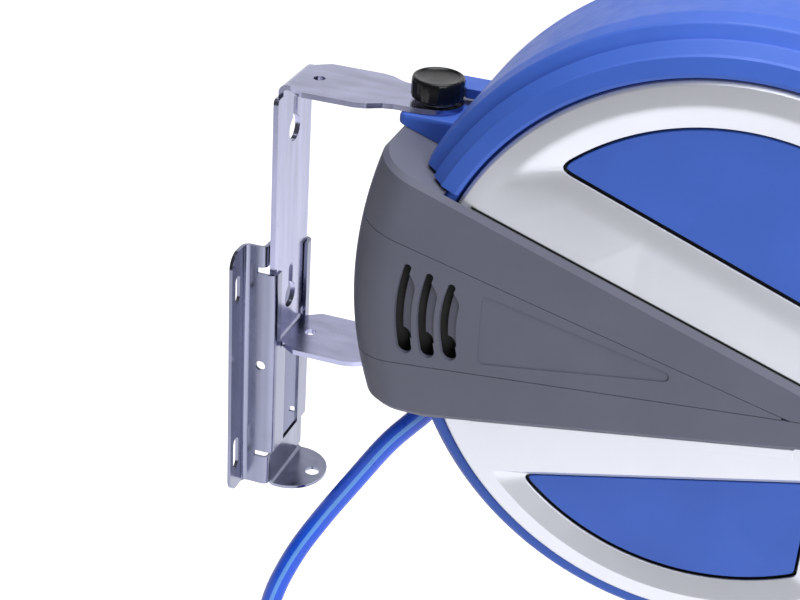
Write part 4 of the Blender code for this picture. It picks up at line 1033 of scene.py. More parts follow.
def wide_fillet(points, corners, steps=10):
    """Rounds corners whose rounding is longer than the outline's own steps."""
    total = len(points)
    drop, put = set(), {}
    for k, radius in corners.items():
        here = Vector(points[k])
        ahead = (Vector(points[(k + 1) % total]) - here).normalized()
        back = (Vector(points[k - 1]) - here).normalized()
        half_angle = math.acos(max(-1.0, min(1.0, back.dot(ahead)))) / 2
        reach = radius / math.tan(half_angle)
        a, b = (rounding_end(points, k, way, reach, drop) for way in (-1, 1))
        put[k] = []
        for j in range(steps + 1):
            t = j / steps
            put[k].append(tuple(a * (1 - t) ** 2 + here * 2 * t * (1 - t) + b * t * t))
    result = []
    for k, point in enumerate(points):
        if k in put:
            result += put[k]
        elif k not in drop:
            result.append(tuple(point))
    return result


def evenly(outline, count):
    """The same closed outline with a given count of points, evenly spaced along it."""
    loop = [Vector(p) for p in [*outline, outline[0]]]
    return [tuple(p) for p in spaced(loop, lengths_along(loop), count)]


def window_pair(upside):
    """The window's edge on the cover's face and the smaller opening at its foot, in XZ."""
    outer = leaf(WINDOW_RADIUS, (0.0430, -0.375), 0.070, 0.004)
    inner = leaf(WINDOW_RADIUS - 0.0090, (0.0568, -0.375), 0.058, 0.0055)
    if upside:
        return outer, inner
    outer = leaf(WINDOW_RADIUS + 0.003, (0.0640, -0.245), 0.074, 0.004)
    inner = leaf(WINDOW_RADIUS - 0.0080, (0.0676, -0.245), 0.062, 0.0050)
    return [(x, -z) for x, z in outer], [(x, -z) for x, z in inner]


def cover_trim(word, side):
    """The silver ledge under the belt, and above it a black strip that is a painted shadow of the gap
    between the belt and the cover.
    """
    foot = LEDGE_DEEP / 3
    ledge = []
    for x, drop in ((LEDGE_START, 0.0), (TIP_X, 0.0), (TIP_X, LEDGE_DEEP), (LEDGE_START, foot)):
        ledge.append((x, at_line(BOTTOM_LINE, x) - drop))
    bm = side_prism(ledge, side, COVER_TOP + TRIM_LIFT, COVER_TOP + LEDGE_RISE)
    band = piece(f"cover_ledge_{word}", bm, SILVER, "silver_plastic")
    rounded(band, 0.0004, 3)
    # A black strip along the belt's top edge: painted shadow of the gap between belt and cover
    gap = []
    for x, rise in ((GAP_START, 0.0), (TIP_X, 0.0), (TIP_X, GAP_WIDE), (GAP_START, GAP_WIDE)):
        gap.append((x, at_line(TOP_LINE, x) + rise))
    bm = side_prism(gap, side, COVER_TOP + TRIM_LIFT, COVER_TOP + GAP_RISE)
    piece(f"belt_gap_shadow_{word}", bm, SHADE_BLACK, "black_plastic")


def side_cover(word, side):
    """A silver cover: a flat hub, a sloping ring outside it, and windows with sloping walls."""
    hub = circle((0.0, 0.0), COVER_FLAT, RIM_STEPS)
    windows = []
    for upside in (True, False):
        outer, inner = window_pair(upside)
        windows.append((evenly(outer, 160), evenly(inner, 160)))
    bm = filled([hub] + [outer for outer, inner in windows])
    face_verts = {(round(v.co.x, 5), round(v.co.y, 5)): v for v in bm.verts}

    def on_face(outline):
        return [face_verts[(round(x, 5), round(z, 5))] for x, z in outline]

    for outer, inner in windows:
        goal = [bm.verts.new((x, z, -WINDOW_DEPTH)) for x, z in inner]
        joined(bm, on_face(outer), goal)
    edge = on_face(hub)
    for radius, depth in COVER_EDGE:
        spots = circle((0.0, 0.0), radius, RIM_STEPS)
        goal = [bm.verts.new((x, z, -depth)) for x, z in spots]
        joined(bm, edge, goal)
        edge = goal
    for vert in bm.verts:
        x, z, depth = vert.co
        vert.co = AXLE + Vector((x, side * (COVER_FACE + depth), z))
    nodes = [f"side_cover_{word}"]
    obj = piece(f"side_cover_face_{word}", bm, SILVER, "silver_plastic", nodes)
    skin(obj, COVER_SHEET)
    carve(obj, [side_prism(COVER_NOTCH, side, 0.045, 0.070)])
    rounded(obj, 0.00045, 3, 32.0)
    cover_trim(word, side)


def inset(outline, by):
    """Moves each point of an outline inwards, square to its neighbours' chord."""
    area = sum(a[0] * b[1] - b[0] * a[1] for a, b in zip(outline, outline[1:] + outline[:1]))
    way = 1 if area > 0 else -1
    out = []
    for k, point in enumerate(outline):
        before, after = Vector(outline[k - 1]), Vector(outline[(k + 1) % len(outline)])
        along = (after - before).normalized()
        out.append((point[0] - way * along.y * by, point[1] + way * along.x * by))
    return out


def window_inlay(word, side, upside):
    """A blue plate at the foot of a window, on the housing's side wall, ringed by a black painted
    shadow of the gap round it.
    """
    name = ("upper" if upside else "lower") + f"_inlay_{word}"
    opening = evenly(window_pair(upside)[1], 140)
    outline = [(AXLE.x + x, AXLE.z + z) for x, z in inset(opening, 0.0019)]
    bm = side_prism(outline, side, SIDE_WALL + GAP, SIDE_WALL + INLAY_TOP)
    obj = piece(f"{name}_plate", bm, BLUE, "blue_plastic", [name])
    rounded(obj, 0.0005, 3)
    # The black ring round the plate is painted shadow of the gap between the plate and the window's
    # wall
    gap_shadow = filled([inset(opening, -0.0012), inset(opening, 0.0017)])
    for vert in gap_shadow.verts:
        x, z, _ = vert.co
        vert.co = AXLE + Vector((x, side * (SIDE_WALL + GAP_SHADOW_LIFT), z))
    obj = piece(f"{name}_seal", gap_shadow, BLACK, "black_plastic")
    skin(obj, 0.0003)


def keeper_lump():
    """The lug on the guard that keeps the upper arm in place, clear of the knob."""
    lug = box((0.104, KEEPER_Y[0], KEEPER_BOTTOM), (0.130, KEEPER_Y[1], KEEPER_TOP))
    keeper = piece("keeper", lug, BLUE, "blue_plastic")
    core = cross_rod(AXLE, 0.07, GUARD_RADIUS - 0.0013, RIM_STEPS)
    carve(keeper, [pivot_rod(0.17, 0.19, KNOB_RADIUS + 0.0012), core])
    lump = bmesh.new()
    lump.from_mesh(keeper.data)
    bpy.data.objects.remove(keeper)
    return lump


def top_guard():
    """The blue guard over the top of the rim, a swept section with the arm's keeper on it."""
    half = [
        (GUARD_RADIUS, 0.0),
        (GUARD_RADIUS, -0.036),
        (GUARD_RADIUS - 0.0020, -0.0465),
        (0.1672, -0.0508), (0.1688, -0.0545), (0.1634, -0.0592), (0.1625, -0.0606),
        (0.1545, -0.0622), (0.1526, -0.0614), (0.1526, -0.0576), (0.1626, -0.0576),
        (0.1640, -0.0520), (0.1648, -0.0500),
        (GUARD_RADIUS - 0.0048, -0.0455),
        (GUARD_RADIUS - 0.0026, -0.035),
        (GUARD_RADIUS - 0.0026, 0.0),
    ]
    soft = {1: 0.012, 2: 0.003, 3: 0.0014, 4: 0.0006, 5: 0.0006, 6: 0.0004, 7: 0.0010, 8: 0.0006}
    shaped = fillet(half, soft, 6)
    section = shaped + [(r, -y) for r, y in reversed(shaped[1:-1])]
    bm = bmesh.new()
    face = bm.faces.new([bm.verts.new(around(r, GUARD_START, y)) for r, y in section])
    sweep = GUARD_STOP - GUARD_START
    bmesh.ops.spin(
        bm, geom=[face], cent=AXLE, axis=(0, -1, 0), angle=sweep, steps=110, use_duplicate=False
    )
    keep_above(bm, moved(TOP_LINE, GUARD_CLEAR))
    obj = piece("top_guard_cover", bm, BLUE, "blue_plastic", ["top_guard"])
    carve(obj, [keeper_lump()], "UNION")
    rounded(obj, 0.0005, 3, 50.0)


# Belt
def nose_x(x, z):
    """The belt's wall end bows towards the wall at mid height."""
    bow = (NOSE_BOW_UPPER if z > NOSE_MIDDLE else NOSE_BOW_LOWER) * (z - NOSE_MIDDLE) ** 2
    share = min(max((NOSE_START - x) / NOSE_LENGTH, 0.0), 1.0)
    return x + bow * share * share * (3 - 2 * share)


def at_line(line, x):
    return line[0] + line[1] * x


def tip_circle():
    """The centre and radius of the round end of the belt, in XZ."""
    top, bottom = at_line(TOP_LINE, TIP_X), at_line(BOTTOM_LINE, TIP_X)
    return (TIP_X, (top + bottom) / 2), (top - bottom) / 2 * TIP_TRIM


def stations():
    """Places along the belt's plan, from its near tip to the middle of its nose.

    Each is (x, y, inward x, inward y, angle on the round tip or None).
    """
    places = []
    for k in range(1, 15):
        angle = math.radians(88 - 88 * k / 14)
        places.append((TIP_X, -BELT_HALF, 0.0, 1.0, angle))
    straight = [TIP_X + (NOSE_START - TIP_X) * k / 40 for k in range(1, 41)]
    straight += [0.132, 0.129, 0.126, 0.1236, CAP_TOP_X, 0.1205, CAP_FLOOR_X]
    straight += [0.116, 0.113, 0.110, 0.107, 0.104, 0.1015]
    places += [(x, -BELT_HALF, 0.0, 1.0, None) for x in straight]
    centre = (BELT_BACK + BELT_CORNER, BELT_CORNER - BELT_HALF)
    for k in range(25):
        angle = 1.5 * math.pi - math.pi / 2 * k / 24
        x = centre[0] + BELT_CORNER * math.cos(angle)
        y = centre[1] + BELT_CORNER * math.sin(angle)
        places.append((x, y, -math.cos(angle), -math.sin(angle), None))
    for k in range(1, 13):
        places.append((BELT_BACK, centre[1] * (1 - k / 12), 1.0, 0.0, None))
    mirrored = [(x, -y, ix, -iy, angle) for x, y, ix, iy, angle in reversed(places[:-1])]
    return places + mirrored


def face_height(line, x):
    """The height at which a line crosses the belt's bowed face above a plan place."""
    z = at_line(line, x)
    for _ in range(5):
        z = at_line(line, nose_x(x, z))
    return z


def rim_points(station, upper):
    """Where the belt's face ends at its rim, and the rim's own edge, set in by the chamfer."""
    x, y, ix, iy, angle = station
    sign = 1 if upper else -1
    if angle is not None:
        (cx, cz), radius = tip_circle()
        out = []
        for r, step in ((radius - BELT_CHAMFER, 0.0), (radius, BELT_INSET)):
            spot = (cx + r * math.sin(angle), cz + sign * r * math.cos(angle))
            out.append(Vector((spot[0], y + iy * step, spot[1])))
        return out
    line = TOP_LINE if upper else BOTTOM_LINE
    chamfer = moved(line, -sign * BELT_CHAMFER)
    face = face_height(chamfer, x)
    if not upper:
        face = max(face, BELT_FLOOR + BELT_CHAMFER)
    edge_z = at_line(line, x)
    for _ in range(5):
        edge_x = nose_x(x, edge_z) + ix * BELT_INSET
        edge_z = at_line(line, edge_x)
        if not upper:
            edge_z = max(edge_z, BELT_FLOOR)
    edge = Vector((edge_x, y + iy * BELT_INSET, edge_z))
    return [Vector((nose_x(x, face), y, face)), edge]


def belt_panel(name, lows, highs, rim):
    """One belt cover as a grid from seam to rim, with a cap where it closes the nose."""
    bm = bmesh.new()
    columns = []
    for station in stations():
        x, y, ix, iy, angle = station
        ends = rim_points(station, rim != "bottom")
        face_x = ends[0].x if angle is not None else x
        low = max([face_height(line, face_x) for line in lows], default=0.0)
        high = min([face_height(line, face_x) for line in highs], default=1.0)
        if rim == "top":
            high = ends[0].z
        if rim == "bottom":
            low = ends[0].z
        if high - low < 0.0002:
            columns.append(None)
            continue
        column = []
        for k in range(BELT_ROWS + 1):
            z = low + (high - low) * k / BELT_ROWS
            column.append(bm.verts.new((nose_x(face_x, z), y, z)))
        if rim == "top":
            column.append(bm.verts.new(ends[1]))
        if rim == "bottom":
            column.insert(0, bm.verts.new(ends[1]))
        columns.append(column)
    for one, two in zip(columns, columns[1:]):
        if one is None or two is None:
            continue
        for a, b, c, d in zip(one, two, two[1:], one[1:]):
            bm.faces.new((a, b, c, d))
    if rim:
        limit, place = (CAP_TOP_X, -1) if rim == "top" else (CAP_FLOOR_X, 0)
        cap = []
        for station, column in zip(stations(), columns):
            if station[0] < limit + 0.00001 and column:
                cap.append(column[place])
        bm.faces.new(cap)
    obj = piece(f"{name}_cover", bm, GREY, "grey_plastic", [name])
    if obj.data.polygons[0].normal.y > 0:
        obj.data.flip_normals()
    return skin(obj, BELT_SKIN, -1.0)


def vent_centres(vent):
    """Points down the middle of a vent, which bows towards the wall."""
    top_x, top_z, bottom_x, bottom_z = vent
    centres = []
    for k in range(17):
        t = k / 16
        bow = VENT_BOW * (1 - (2 * t - 1) ** 2)
        centres.append((top_x + (bottom_x - top_x) * t - bow, top_z + (bottom_z - top_z) * t))
    return centres


def slot_outline(centres, radius):
    """The outline in XZ of a slot with round ends along a row of points."""
    left = [(x - radius, z) for x, z in centres]
    right = [(x + radius, z) for x, z in reversed(centres)]
    cap_top = arc(centres[0], radius, 0.0, math.pi, 14)[1:-1]
    cap_bottom = arc(centres[-1], radius, math.pi, TURN, 14)[1:-1]
    return left + cap_bottom + right + cap_top


def vent_cutters(vent, side):
    """A narrow slot right through, a wide round foot, and a ramp that fades out at the right."""
    centres = vent_centres(vent)
    shifted = [(x - VENT_RADIUS + VENT_SLOT, z) for x, z in centres]
    foot = [(x + VENT_WIDE - VENT_RADIUS, z) for x, z in centres[-3:]]
    made = []
    for outline in (slot_outline(shifted, VENT_SLOT), slot_outline(foot, VENT_WIDE)):
        made.append(side_prism(outline, side, 0.050, 0.080))
    outside, floor = BELT_HALF + 0.0010, BELT_HALF - BELT_SKIN - 0.0003
    bm = bmesh.new()
    sections = []
    for k, (x, z) in enumerate(centres[1:-2]):
        left = x - VENT_RADIUS + VENT_SLOT
        spread = math.sin(math.pi / 2 * min(1.0, (k + 0.6) / 4))
        right = left + (2 * VENT_WIDE - VENT_SLOT + VENT_RAMP) * spread
        spots = [(left, outside), (left, floor), (right, BELT_HALF - 0.0012), (right, outside)]
        sections.append([bm.verts.new((px, side * py, z)) for px, py in spots])
    loft(bm, sections)
    bmesh.ops.recalc_face_normals(bm, faces=bm.faces)
    return [*made, bm]


def label_recess(side):
    """The bare recess of the belt's middle cover, where a label could sit."""
    upper, lower = math.radians(78), math.radians(-85)
    outline = [
        *arc((0.1535, 0.0965), LABEL_CORNER, math.pi, upper, 12),
        *arc((0.2480, 0.0765), LABEL_CORNER, upper, lower, 16),
        *arc((0.1540, 0.0625), LABEL_CORNER, math.radians(275), math.pi, 12),
    ]
    return side_prism(outline, side, LABEL_FLOOR, 0.080)


def belt():
    """The upper, middle and lower covers of the belt, with vents and a bare label recess."""
    lines = [moved(SEAM_1, SEAM / 2), moved(SEAM_2, SEAM / 2)]
    upper = belt_panel("belt_upper", lines, [], "top")
    carve(upper, [pivot_rod(0.13, 0.18, BOSS_RADIUS + GAP)])
    middle_lines = [moved(SEAM_2, SEAM / 2)], [moved(SEAM_1, -SEAM / 2)]
    middle = belt_panel("belt_middle", *middle_lines, None)
    tools = []
    for side in (-1, 1):
        for vent in VENTS:
            tools += vent_cutters(vent, side)
    carve(middle, tools + [label_recess(side) for side in (-1, 1)])
    lower = belt_panel("belt_lower", [], [moved(SEAM_2, -SEAM / 2)], "bottom")
    carve(lower, [pivot_rod(0.0, 0.04, 0.0073), gland_rod(0.0096, -0.02, 2 * GLAND_OUT)])
    for panel in (upper, middle, lower):
        rounded(panel, 0.00025, 2, 40.0)


def vent_louvre(word, side):
    """A folded strip behind the vents, so that air passes and fingers don't."""
    bm = bmesh.new()
    first, step = 0.1020, 0.0124
    folds = []
    for k in range(4):
        folds.append((first + step * k, 0.0613))
        if k < 3:
            folds.append((first + step * k + 0.0085, 0.0586))
    foot, top = LOUVRE_FOOT, LOUVRE_TOP
    for (xa, ya), (xb, yb) in zip(folds, folds[1:]):
        spots = [(xa, ya, foot), (xb, yb, foot), (xb, yb, top), (xa, ya, top)]
        bm.faces.new([bm.verts.new((x, side * y, z)) for x, y, z in spots])
    node = f"vent_louvre_{word}"
    # Its black is darker than the black plastic's: painted shade for the vents' insides
    obj = piece(f"{node}_strip", bm, SHADE_BLACK, "black_plastic", [node])
    skin(obj, 0.001)
    applied(obj)
    rounded(obj, 0.0002, 2)


# Outlet
def outlet_turn(bm):
    turn = Euler((0.0, OUTLET_ANGLE, 0.0)).to_matrix()
    bmesh.ops.rotate(bm, matrix=turn, verts=bm.verts)
    bmesh.ops.translate(bm, vec=AXLE, verts=bm.verts)
    return bm


def outlet_box(low, high):
    return outlet_turn(box(low, high))


def outlet_point(reach, y, rise):
    turn = Euler((0.0, OUTLET_ANGLE, 0.0)).to_matrix()
    return AXLE + turn @ Vector((reach, y, rise))


def roller_centre(sign):
    """The middle of the upper roller for 1, or of the lower one for -1."""
    return outlet_point(ROLLER_REACH, 0.0, sign * ROLLER_OFFSET)


def outlet_roller(word, sign):
    """A waisted roller and the pin that it turns on."""
    centre = roller_centre(sign)
    pin = cross_rod(centre, 0.047, 0.0018, 40)
    pin = piece(f"roller_pin_rod_{word}", pin, STEEL, "steel", [f"roller_pin_{word}"])
    rounded(pin, 0.0003, 2)
    profile = [(0.0021, 0.0400), (0.0021, -0.0400), (ROLLER_RADIUS - 0.001, -0.0400)]
    for k in range(17):
        y = -0.039 + 0.078 * k / 16
        waist = 0.0012 * (1 - (y / 0.039) ** 2)
        profile.append((ROLLER_RADIUS - waist, y))
    profile.append((ROLLER_RADIUS - 0.001, 0.0400))
    roller = lathe(profile, centre, (0, 1, 0), 64, True)
    node = f"outlet_roller_{word}"
    piece(f"{node}_body", roller, BLACK, "black_plastic", [node], f"roller_{word}")


def outlet():
    """The mouth that the working hose comes out of, with two rollers on pins."""
    body = outlet_box((0.150, -0.050, -0.030), (0.193, 0.050, 0.030))
    edges = [e for e in body.edges if e.calc_length() > 0.039]
    bmesh.ops.bevel(body, geom=edges, offset=0.005, segments=8, profile=0.5, affect="EDGES")
    guide = piece("outlet_guide_body", body, GREY, "grey_plastic", ["outlet_guide"])
    tools = [cross_rod(AXLE, 0.08, RIM_RADIUS + GAP, RIM_STEPS)]
    tools.append(outlet_box((0.1735, -0.041, -0.0260), (0.20, 0.041, 0.0260)))
    tools.append(outlet_box((0.14, -0.0385, -0.0115), (0.18, 0.0385, 0.0115)))
    tools += [cross_rod(roller_centre(sign), 0.0473, 0.0021, 32) for sign in (1, -1)]
    carve(guide, tools)
    rounded(guide, 0.0008, 3, 40.0)
    for word, sign in (("upper", 1), ("lower", -1)):
        outlet_roller(word, sign)


# Turned pieces: what is on the swivel axis, in the drum and at the end of the hose
def turned_pieces():
    """The turned nodes again with fine steps and rounded edges."""
    on_pivot = (PIVOT_X, 0, 0), (0, 0, 1)
    on_axle = AXLE, (0, 1, 0)
    black, inner, steel = (BLACK, "black_plastic"), (INNER, "grey_plastic"), (STEEL, "steel")
    bush = [
        (0.0070, 0.0290), (0.0070, 0.0177), (0.0130, 0.0177),
        (0.0130, 0.0153), (PIVOT_BORE, 0.0153), (PIVOT_BORE, 0.0290),
    ]
    # A known fault: the solid's washer is 1.6 mm higher, on the arm, and this one is inside it
    washer = ring_section(0.010, PIVOT_BORE, 0.1739, 0.1723)
    cup = [
        (0.053, 0.038), (0.053, 0.006), (0.014, 0.006),
        (0.014, 0.0075), (0.0515, 0.0075), (0.0515, 0.038),
    ]
    air_joint = [
        (0.0125, -0.012), (0.0135, -0.013), (0.0135, -0.029),
        (0.0125, -0.030), (0.0083, -0.030), (0.0083, -0.012),
    ]
    near, far = (-0.037, -0.040), (0.045, 0.042)
    for node, profile, place, finish, body in (
        ("lower_pivot_bush", bush, on_pivot, black, "reel"),
        ("knob_washer", washer, on_pivot, steel, "reel"),
        ("drum_barrel", ring_section(0.060, 0.0575, 0.0417, -0.0367), on_axle, inner, "drum"),
        ("drum_flange_near", ring_section(0.140, 0.0125, *near), on_axle, inner, "drum"),
        ("drum_flange_far", ring_section(0.140, 0.0125, *far), on_axle, inner, "drum"),
        ("drum_bush_near", ring_section(0.0122, 0.0083, *near), on_axle, black, "drum"),
        ("drum_bush_far", ring_section(0.0122, 0.0083, *far), on_axle, black, "drum"),
        ("spring_cup", cup, on_axle, inner, "drum"),
        ("spring_cover", ring_section(0.053, 0.0128, 0.0398, 0.0383), on_axle, inner, "drum"),
        ("spring_arbor", ring_section(0.0120, 0.0083, 0.037, 0.009), on_axle, steel, "reel"),
        ("rotary_air_joint", air_joint, on_axle, (BRASS, "brass"), "drum"),
    ):
        bm = lathe(softened(profile, 0.0003, 2), *place, FINE, True)
        piece(f"{node}_turned", bm, *finish, [node], body)


def housing_bolt(number, centre):
    """A bolt through both halves of the housing, with a hexagon socket in its head."""
    profile = [
        (0.0, BEAD + 0.0022),
        (0.0026, BEAD + 0.0022),
        (0.0036, BEAD + 0.0012),
        (0.0036, BEAD + GAP),
        (0.0019, BEAD + GAP),
        (0.0019, -0.0556),
        (0.0, -0.0556),
    ]
    bm = lathe(softened(profile, 0.0003, 3, False), centre, (0, 1, 0), 40)
    node = f"housing_bolt_{number}"
    bolt_piece = piece(f"{node}_turned", bm, STEEL, "steel", [node])
    socket = circle((centre.x, centre.z), 0.0016, 6)
    carve(bolt_piece, [prism(socket, "Y", BEAD + 0.0008, BEAD + 0.0030)])


def solid_turned():
    """Turned pieces that run through to their own axis."""
    up = (0, 0, 1)
    bolt = [
        (0.0, 0.0380), (0.0032, 0.0380), (PIN_RADIUS, 0.0373), (PIN_RADIUS, 0.0117),
        (0.0075, 0.0117), (0.0075, 0.0080), (0.0062, 0.0068), (0.0, 0.0068),
    ]
    stud_top = KNOB_HOLE_TOP - GAP
    stud = [(0.0, stud_top), (PIN_RADIUS, stud_top), (PIN_RADIUS, 0.129), (0.0, 0.129)]
    axle = [(0.0, 0.0546), (AXLE_RADIUS, 0.0546), (AXLE_RADIUS, -0.0546), (0.0, -0.0546)]
    for node, profile, at, axis, body in (
        ("lower_pivot_bolt", bolt, (PIVOT_X, 0, 0), up, "reel"),
        ("knob_stud", stud, (PIVOT_X, 0, 0), up, "reel"),
        ("drum_axle", axle, AXLE, (0, 1, 0), "reel"),
    ):
        bm = lathe(softened(profile, 0.0004, 3, False), at, axis, 64)
        piece(f"{node}_turned", bm, STEEL, "steel", [node], body)
    for number, centre in enumerate(bolt_centres(), 1):
        housing_bolt(number, centre)


def wound_hose():
    """The working hose on the drum: three layers of turns side by side."""
    radius = 0.0059
    pitch = 0.0124
    layers = (0.0664, 0.0777, 0.0890)
    first, last = -0.0366 + radius, 0.0416 - radius
    path = []
    angle = 0.0
    for number, layer in enumerate(layers):
        start, end = (first, last) if number % 2 == 0 else (last, first)
        turns = round((last - first) / pitch)
        steps = turns * 48
        for k in range(steps + 1):
            y = start + (end - start) * k / steps
            path.append(around(layer, angle + TURN * k / 48, y))
        angle += TURN * steps / 48 + 0.35
    bm = mesh_tube(path, radius, 14)
    piece("wound_hose", bm, HOSE, "hose", ["hose_winding"], "drum", 60.0)


def mainspring():
    """The rewind spring again, with a smooth spiral."""
    per_turn, turns = 64, 6
    inner, outer = 0.0127, 0.0508
    bm = bmesh.new()
    rows = []
    for k in range(per_turn * turns + 1):
        r = inner + (outer - inner) * k / (per_turn * turns)
        spot = around(r, TURN * k / per_turn)
        rows.append([bm.verts.new(spot + Vector((0, y, 0))) for y in (0.0105, 0.0355)])
    for (a, b), (c, d) in zip(rows, rows[1:]):
        bm.faces.new((a, c, d, b))
    obj = piece("mainspring_strip", bm, SPRING, "steel", ["mainspring"])
    skin(obj, 0.0005)


def gland_rod(radius, start, end):
    """A rod along the hose's exit direction, measured outwards from the rim."""
    a = EXIT_AT_RIM + start * EXIT_DIRECTION
    b = EXIT_AT_RIM + end * EXIT_DIRECTION
    return rod(a, b, radius, 64)


def coil_point(angle):
    """A point of the hose's coil, which hangs below the swivel and steps along Y each turn."""
    x = -COIL_RADIUS * math.cos(angle)
    z = -COIL_RADIUS * math.sin(angle)
    return COIL_CENTRE + Vector((x, COIL_PITCH * angle / TURN, z))


def hose_path():
    """The route of the supply hose in one line, its free stretch first and then its coil."""
    first = EXIT_AT_RIM + (GLAND_OUT + GAP) * EXIT_DIRECTION
    steps = int(COIL_SWEEP / TURN * COIL_POINTS)
    turns = [coil_point(TURN * k / COIL_POINTS) for k in range(steps + 1)]
    rise = Vector((0.0, 0.0, 1.0))
    coil_start = turns[0] + 2 * HOSE_RADIUS * rise
    free = [first, first + 2 * HOSE_RADIUS * EXIT_DIRECTION, *HOSE_ROUTE]
    free += [coil_start + 2 * HOSE_RADIUS * rise, coil_start + GAP * rise]
    path = smooth_path(free, 0.012)
    return [*path, *turns, turns[-1] + 2 * HOSE_RADIUS * rise]


def supply_gland():
    """The ribbed rubber boot where the hose enters the housing."""
    base, tip = EXIT_AT_RIM - 0.006 * EXIT_DIRECTION, EXIT_AT_RIM + GLAND_OUT * EXIT_DIRECTION
    length = (tip - base).length
    profile = [(0.0, 0.0), (0.0086, 0.0)]
    for k in range(9):
        height = 0.004 + (length - 0.006) * k / 8
        radius = 0.0086 - 0.0016 * height / length
        profile += [(radius, height), (radius - 0.0004, height + 0.0009)]
    profile += [(0.0070, length), (0.0, length)]
    boot = lathe(profile, base, EXIT_DIRECTION, 64)
    piece("supply_gland_boot", boot, RUBBER, "black_rubber", ["supply_gland"])


def supply_plug():
    """The quick plug on the hose's free end."""
    end = coil_point(COIL_SWEEP) + Vector((0, 0, 2 * HOSE_RADIUS))
    profile = [
        (0.0, 0.045), (0.0035, 0.045), (0.0042, 0.043), (0.0042, 0.033), (0.0058, 0.031),
        (0.0058, 0.027), (0.0045, 0.025), (0.0045, 0.021), (0.0080, 0.020), (0.0080, 0.014),
        (0.0074, 0.013), (0.0074, GAP), (0.0, GAP),
    ]
    plug = lathe(softened(profile, 0.0004, 3, False), end, (0, 0, 1), 72)
    return piece("supply_plug_nipple", plug, BRASS, "brass", ["supply_plug"])


def supply_hose():
    """The hose as one cord, with its gland, the tie round its turns and the plug on its end."""
    path = hose_path()
    dense = smooth_path(path, 0.0035)
    bm = mesh_tube(dense, HOSE_RADIUS, HOSE_SIDES, HIGHLIGHT_TOWARDS)
    nodes = ["supply_hose", "supply_hose_coil"]
    hose = piece("supply_hose_line", bm, HOSE, "hose", nodes, BODY, 60.0)
    # The faces down the side that looks at the camera get the lighter blue: a painted highlight
    hose.data.materials.append(HOSE_HIGHLIGHT)
    half = HIGHLIGHT_SIDES // 2
    for number, polygon in enumerate(hose.data.polygons):
        side = number % HOSE_SIDES
        if len(polygon.vertices) == 4 and (side < half or side >= HOSE_SIDES - half):
            polygon.material_index = 1
    supply_gland()
    plug = supply_plug()
    tie = coil_tie()


def coil_tie():
    """A strap round the two turns that lie side by side at the foot of the coil."""
    angle = math.radians(62)
    one, two = coil_point(angle), coil_point(angle + TURN)
    reach = HOSE_RADIUS + 0.0016
    outward = Vector((-math.cos(angle), 0.0, -math.sin(angle)))
    sideways = Vector((0.0, 1.0, 0.0))
    path = []
    for centre, start in ((one, math.pi / 2), (two, -math.pi / 2)):
        for k in range(25):
            turn = start + math.pi * k / 24
            offset = math.cos(turn) * sideways + math.sin(turn) * outward
            path.append(centre + reach * offset)
    along = Vector((math.sin(angle), 0.0, -math.cos(angle)))
    bm = bmesh.new()
    for a, b in zip(path, path[1:] + path[:1]):
        corners = [a - 0.005 * along, b - 0.005 * along, b + 0.005 * along, a + 0.005 * along]
        bm.faces.new([bm.verts.new(c) for c in corners])
    obj = piece("coil_tie_strap", bm, RUBBER, "black_rubber", ["coil_tie"])
    skin(obj, 0.0012)
    applied(obj)
    return rounded(obj, 0.0003, 2)


def dress_cad():
    """The CAD nodes that stay get their material and, where they have corners, rounded edges."""
    kept = {
        "neck_nut": (STEEL, 0.0004),
        "lower_pivot_nut": (STEEL, 0.0004),
        "ratchet_ring": (BLACK, 0.0002),
        "pawl": (STEEL, 0.0002),
        "pawl_pin": (STEEL, 0.0002),
    }
    for node, (material, width) in kept.items():
        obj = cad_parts[node]
        for slot in obj.material_slots:
            slot.material = material
        rounded(obj, width, 2)


# Stage and light
def barrel_elbow():
    """The brass tube from the turning joint to the drum's barrel."""
    elbow = [AXLE + Vector((0, -0.021, z)) for z in (0.0139, 0.030, 0.044, 0.0566)]
    bm = mesh_tube(elbow, 0.0045, 40)
    piece("barrel_elbow_tube", bm, BRASS, "brass", ["barrel_elbow"], "drum")


def supply_pipe():
    """The pipe inside the housing, from the gland to the axle."""
    start = EXIT_AT_RIM - 0.0070 * EXIT_DIRECTION
    bends = [
        (0.1500, 200.5, -0.0280), (0.1500, 196.5, -0.0355), (0.1490, 192.5, -0.0425),
        (0.1440, 189.0, PIPE_Y), (0.1340, 186.5, PIPE_Y), (0.1100, 184.0, PIPE_Y),
        (0.0600, 181.0, PIPE_Y), (0.0088, 180.0, PIPE_Y),
    ]
    inside = start - 0.0055 * EXIT_DIRECTION
    route = [inside] + [around(r, math.radians(angle), y) for r, angle, y in bends]
    bm = mesh_tube([start, *smooth_path(route, 0.004)], 0.0042, 32)
    piece("supply_pipe_tube", bm, BLACK, "black_plastic", ["supply_pipe"])


def pawl_spring():
    """The pawl's wire spring, two turns round its pin."""
    pivot = AXLE + Vector((0.0, 0.0, 0.062))
    path = []
    for k in range(65):
        angle = TURN * k / 32
        y = 0.0489 + 0.0013 * k / 32
        path.append(pivot + Vector((0.0031 * math.cos(angle), y, 0.0031 * math.sin(angle))))
    bm = mesh_tube(path, 0.00035, 10)
    piece("pawl_spring_wire", bm, SPRING, "steel", ["pawl_spring"])


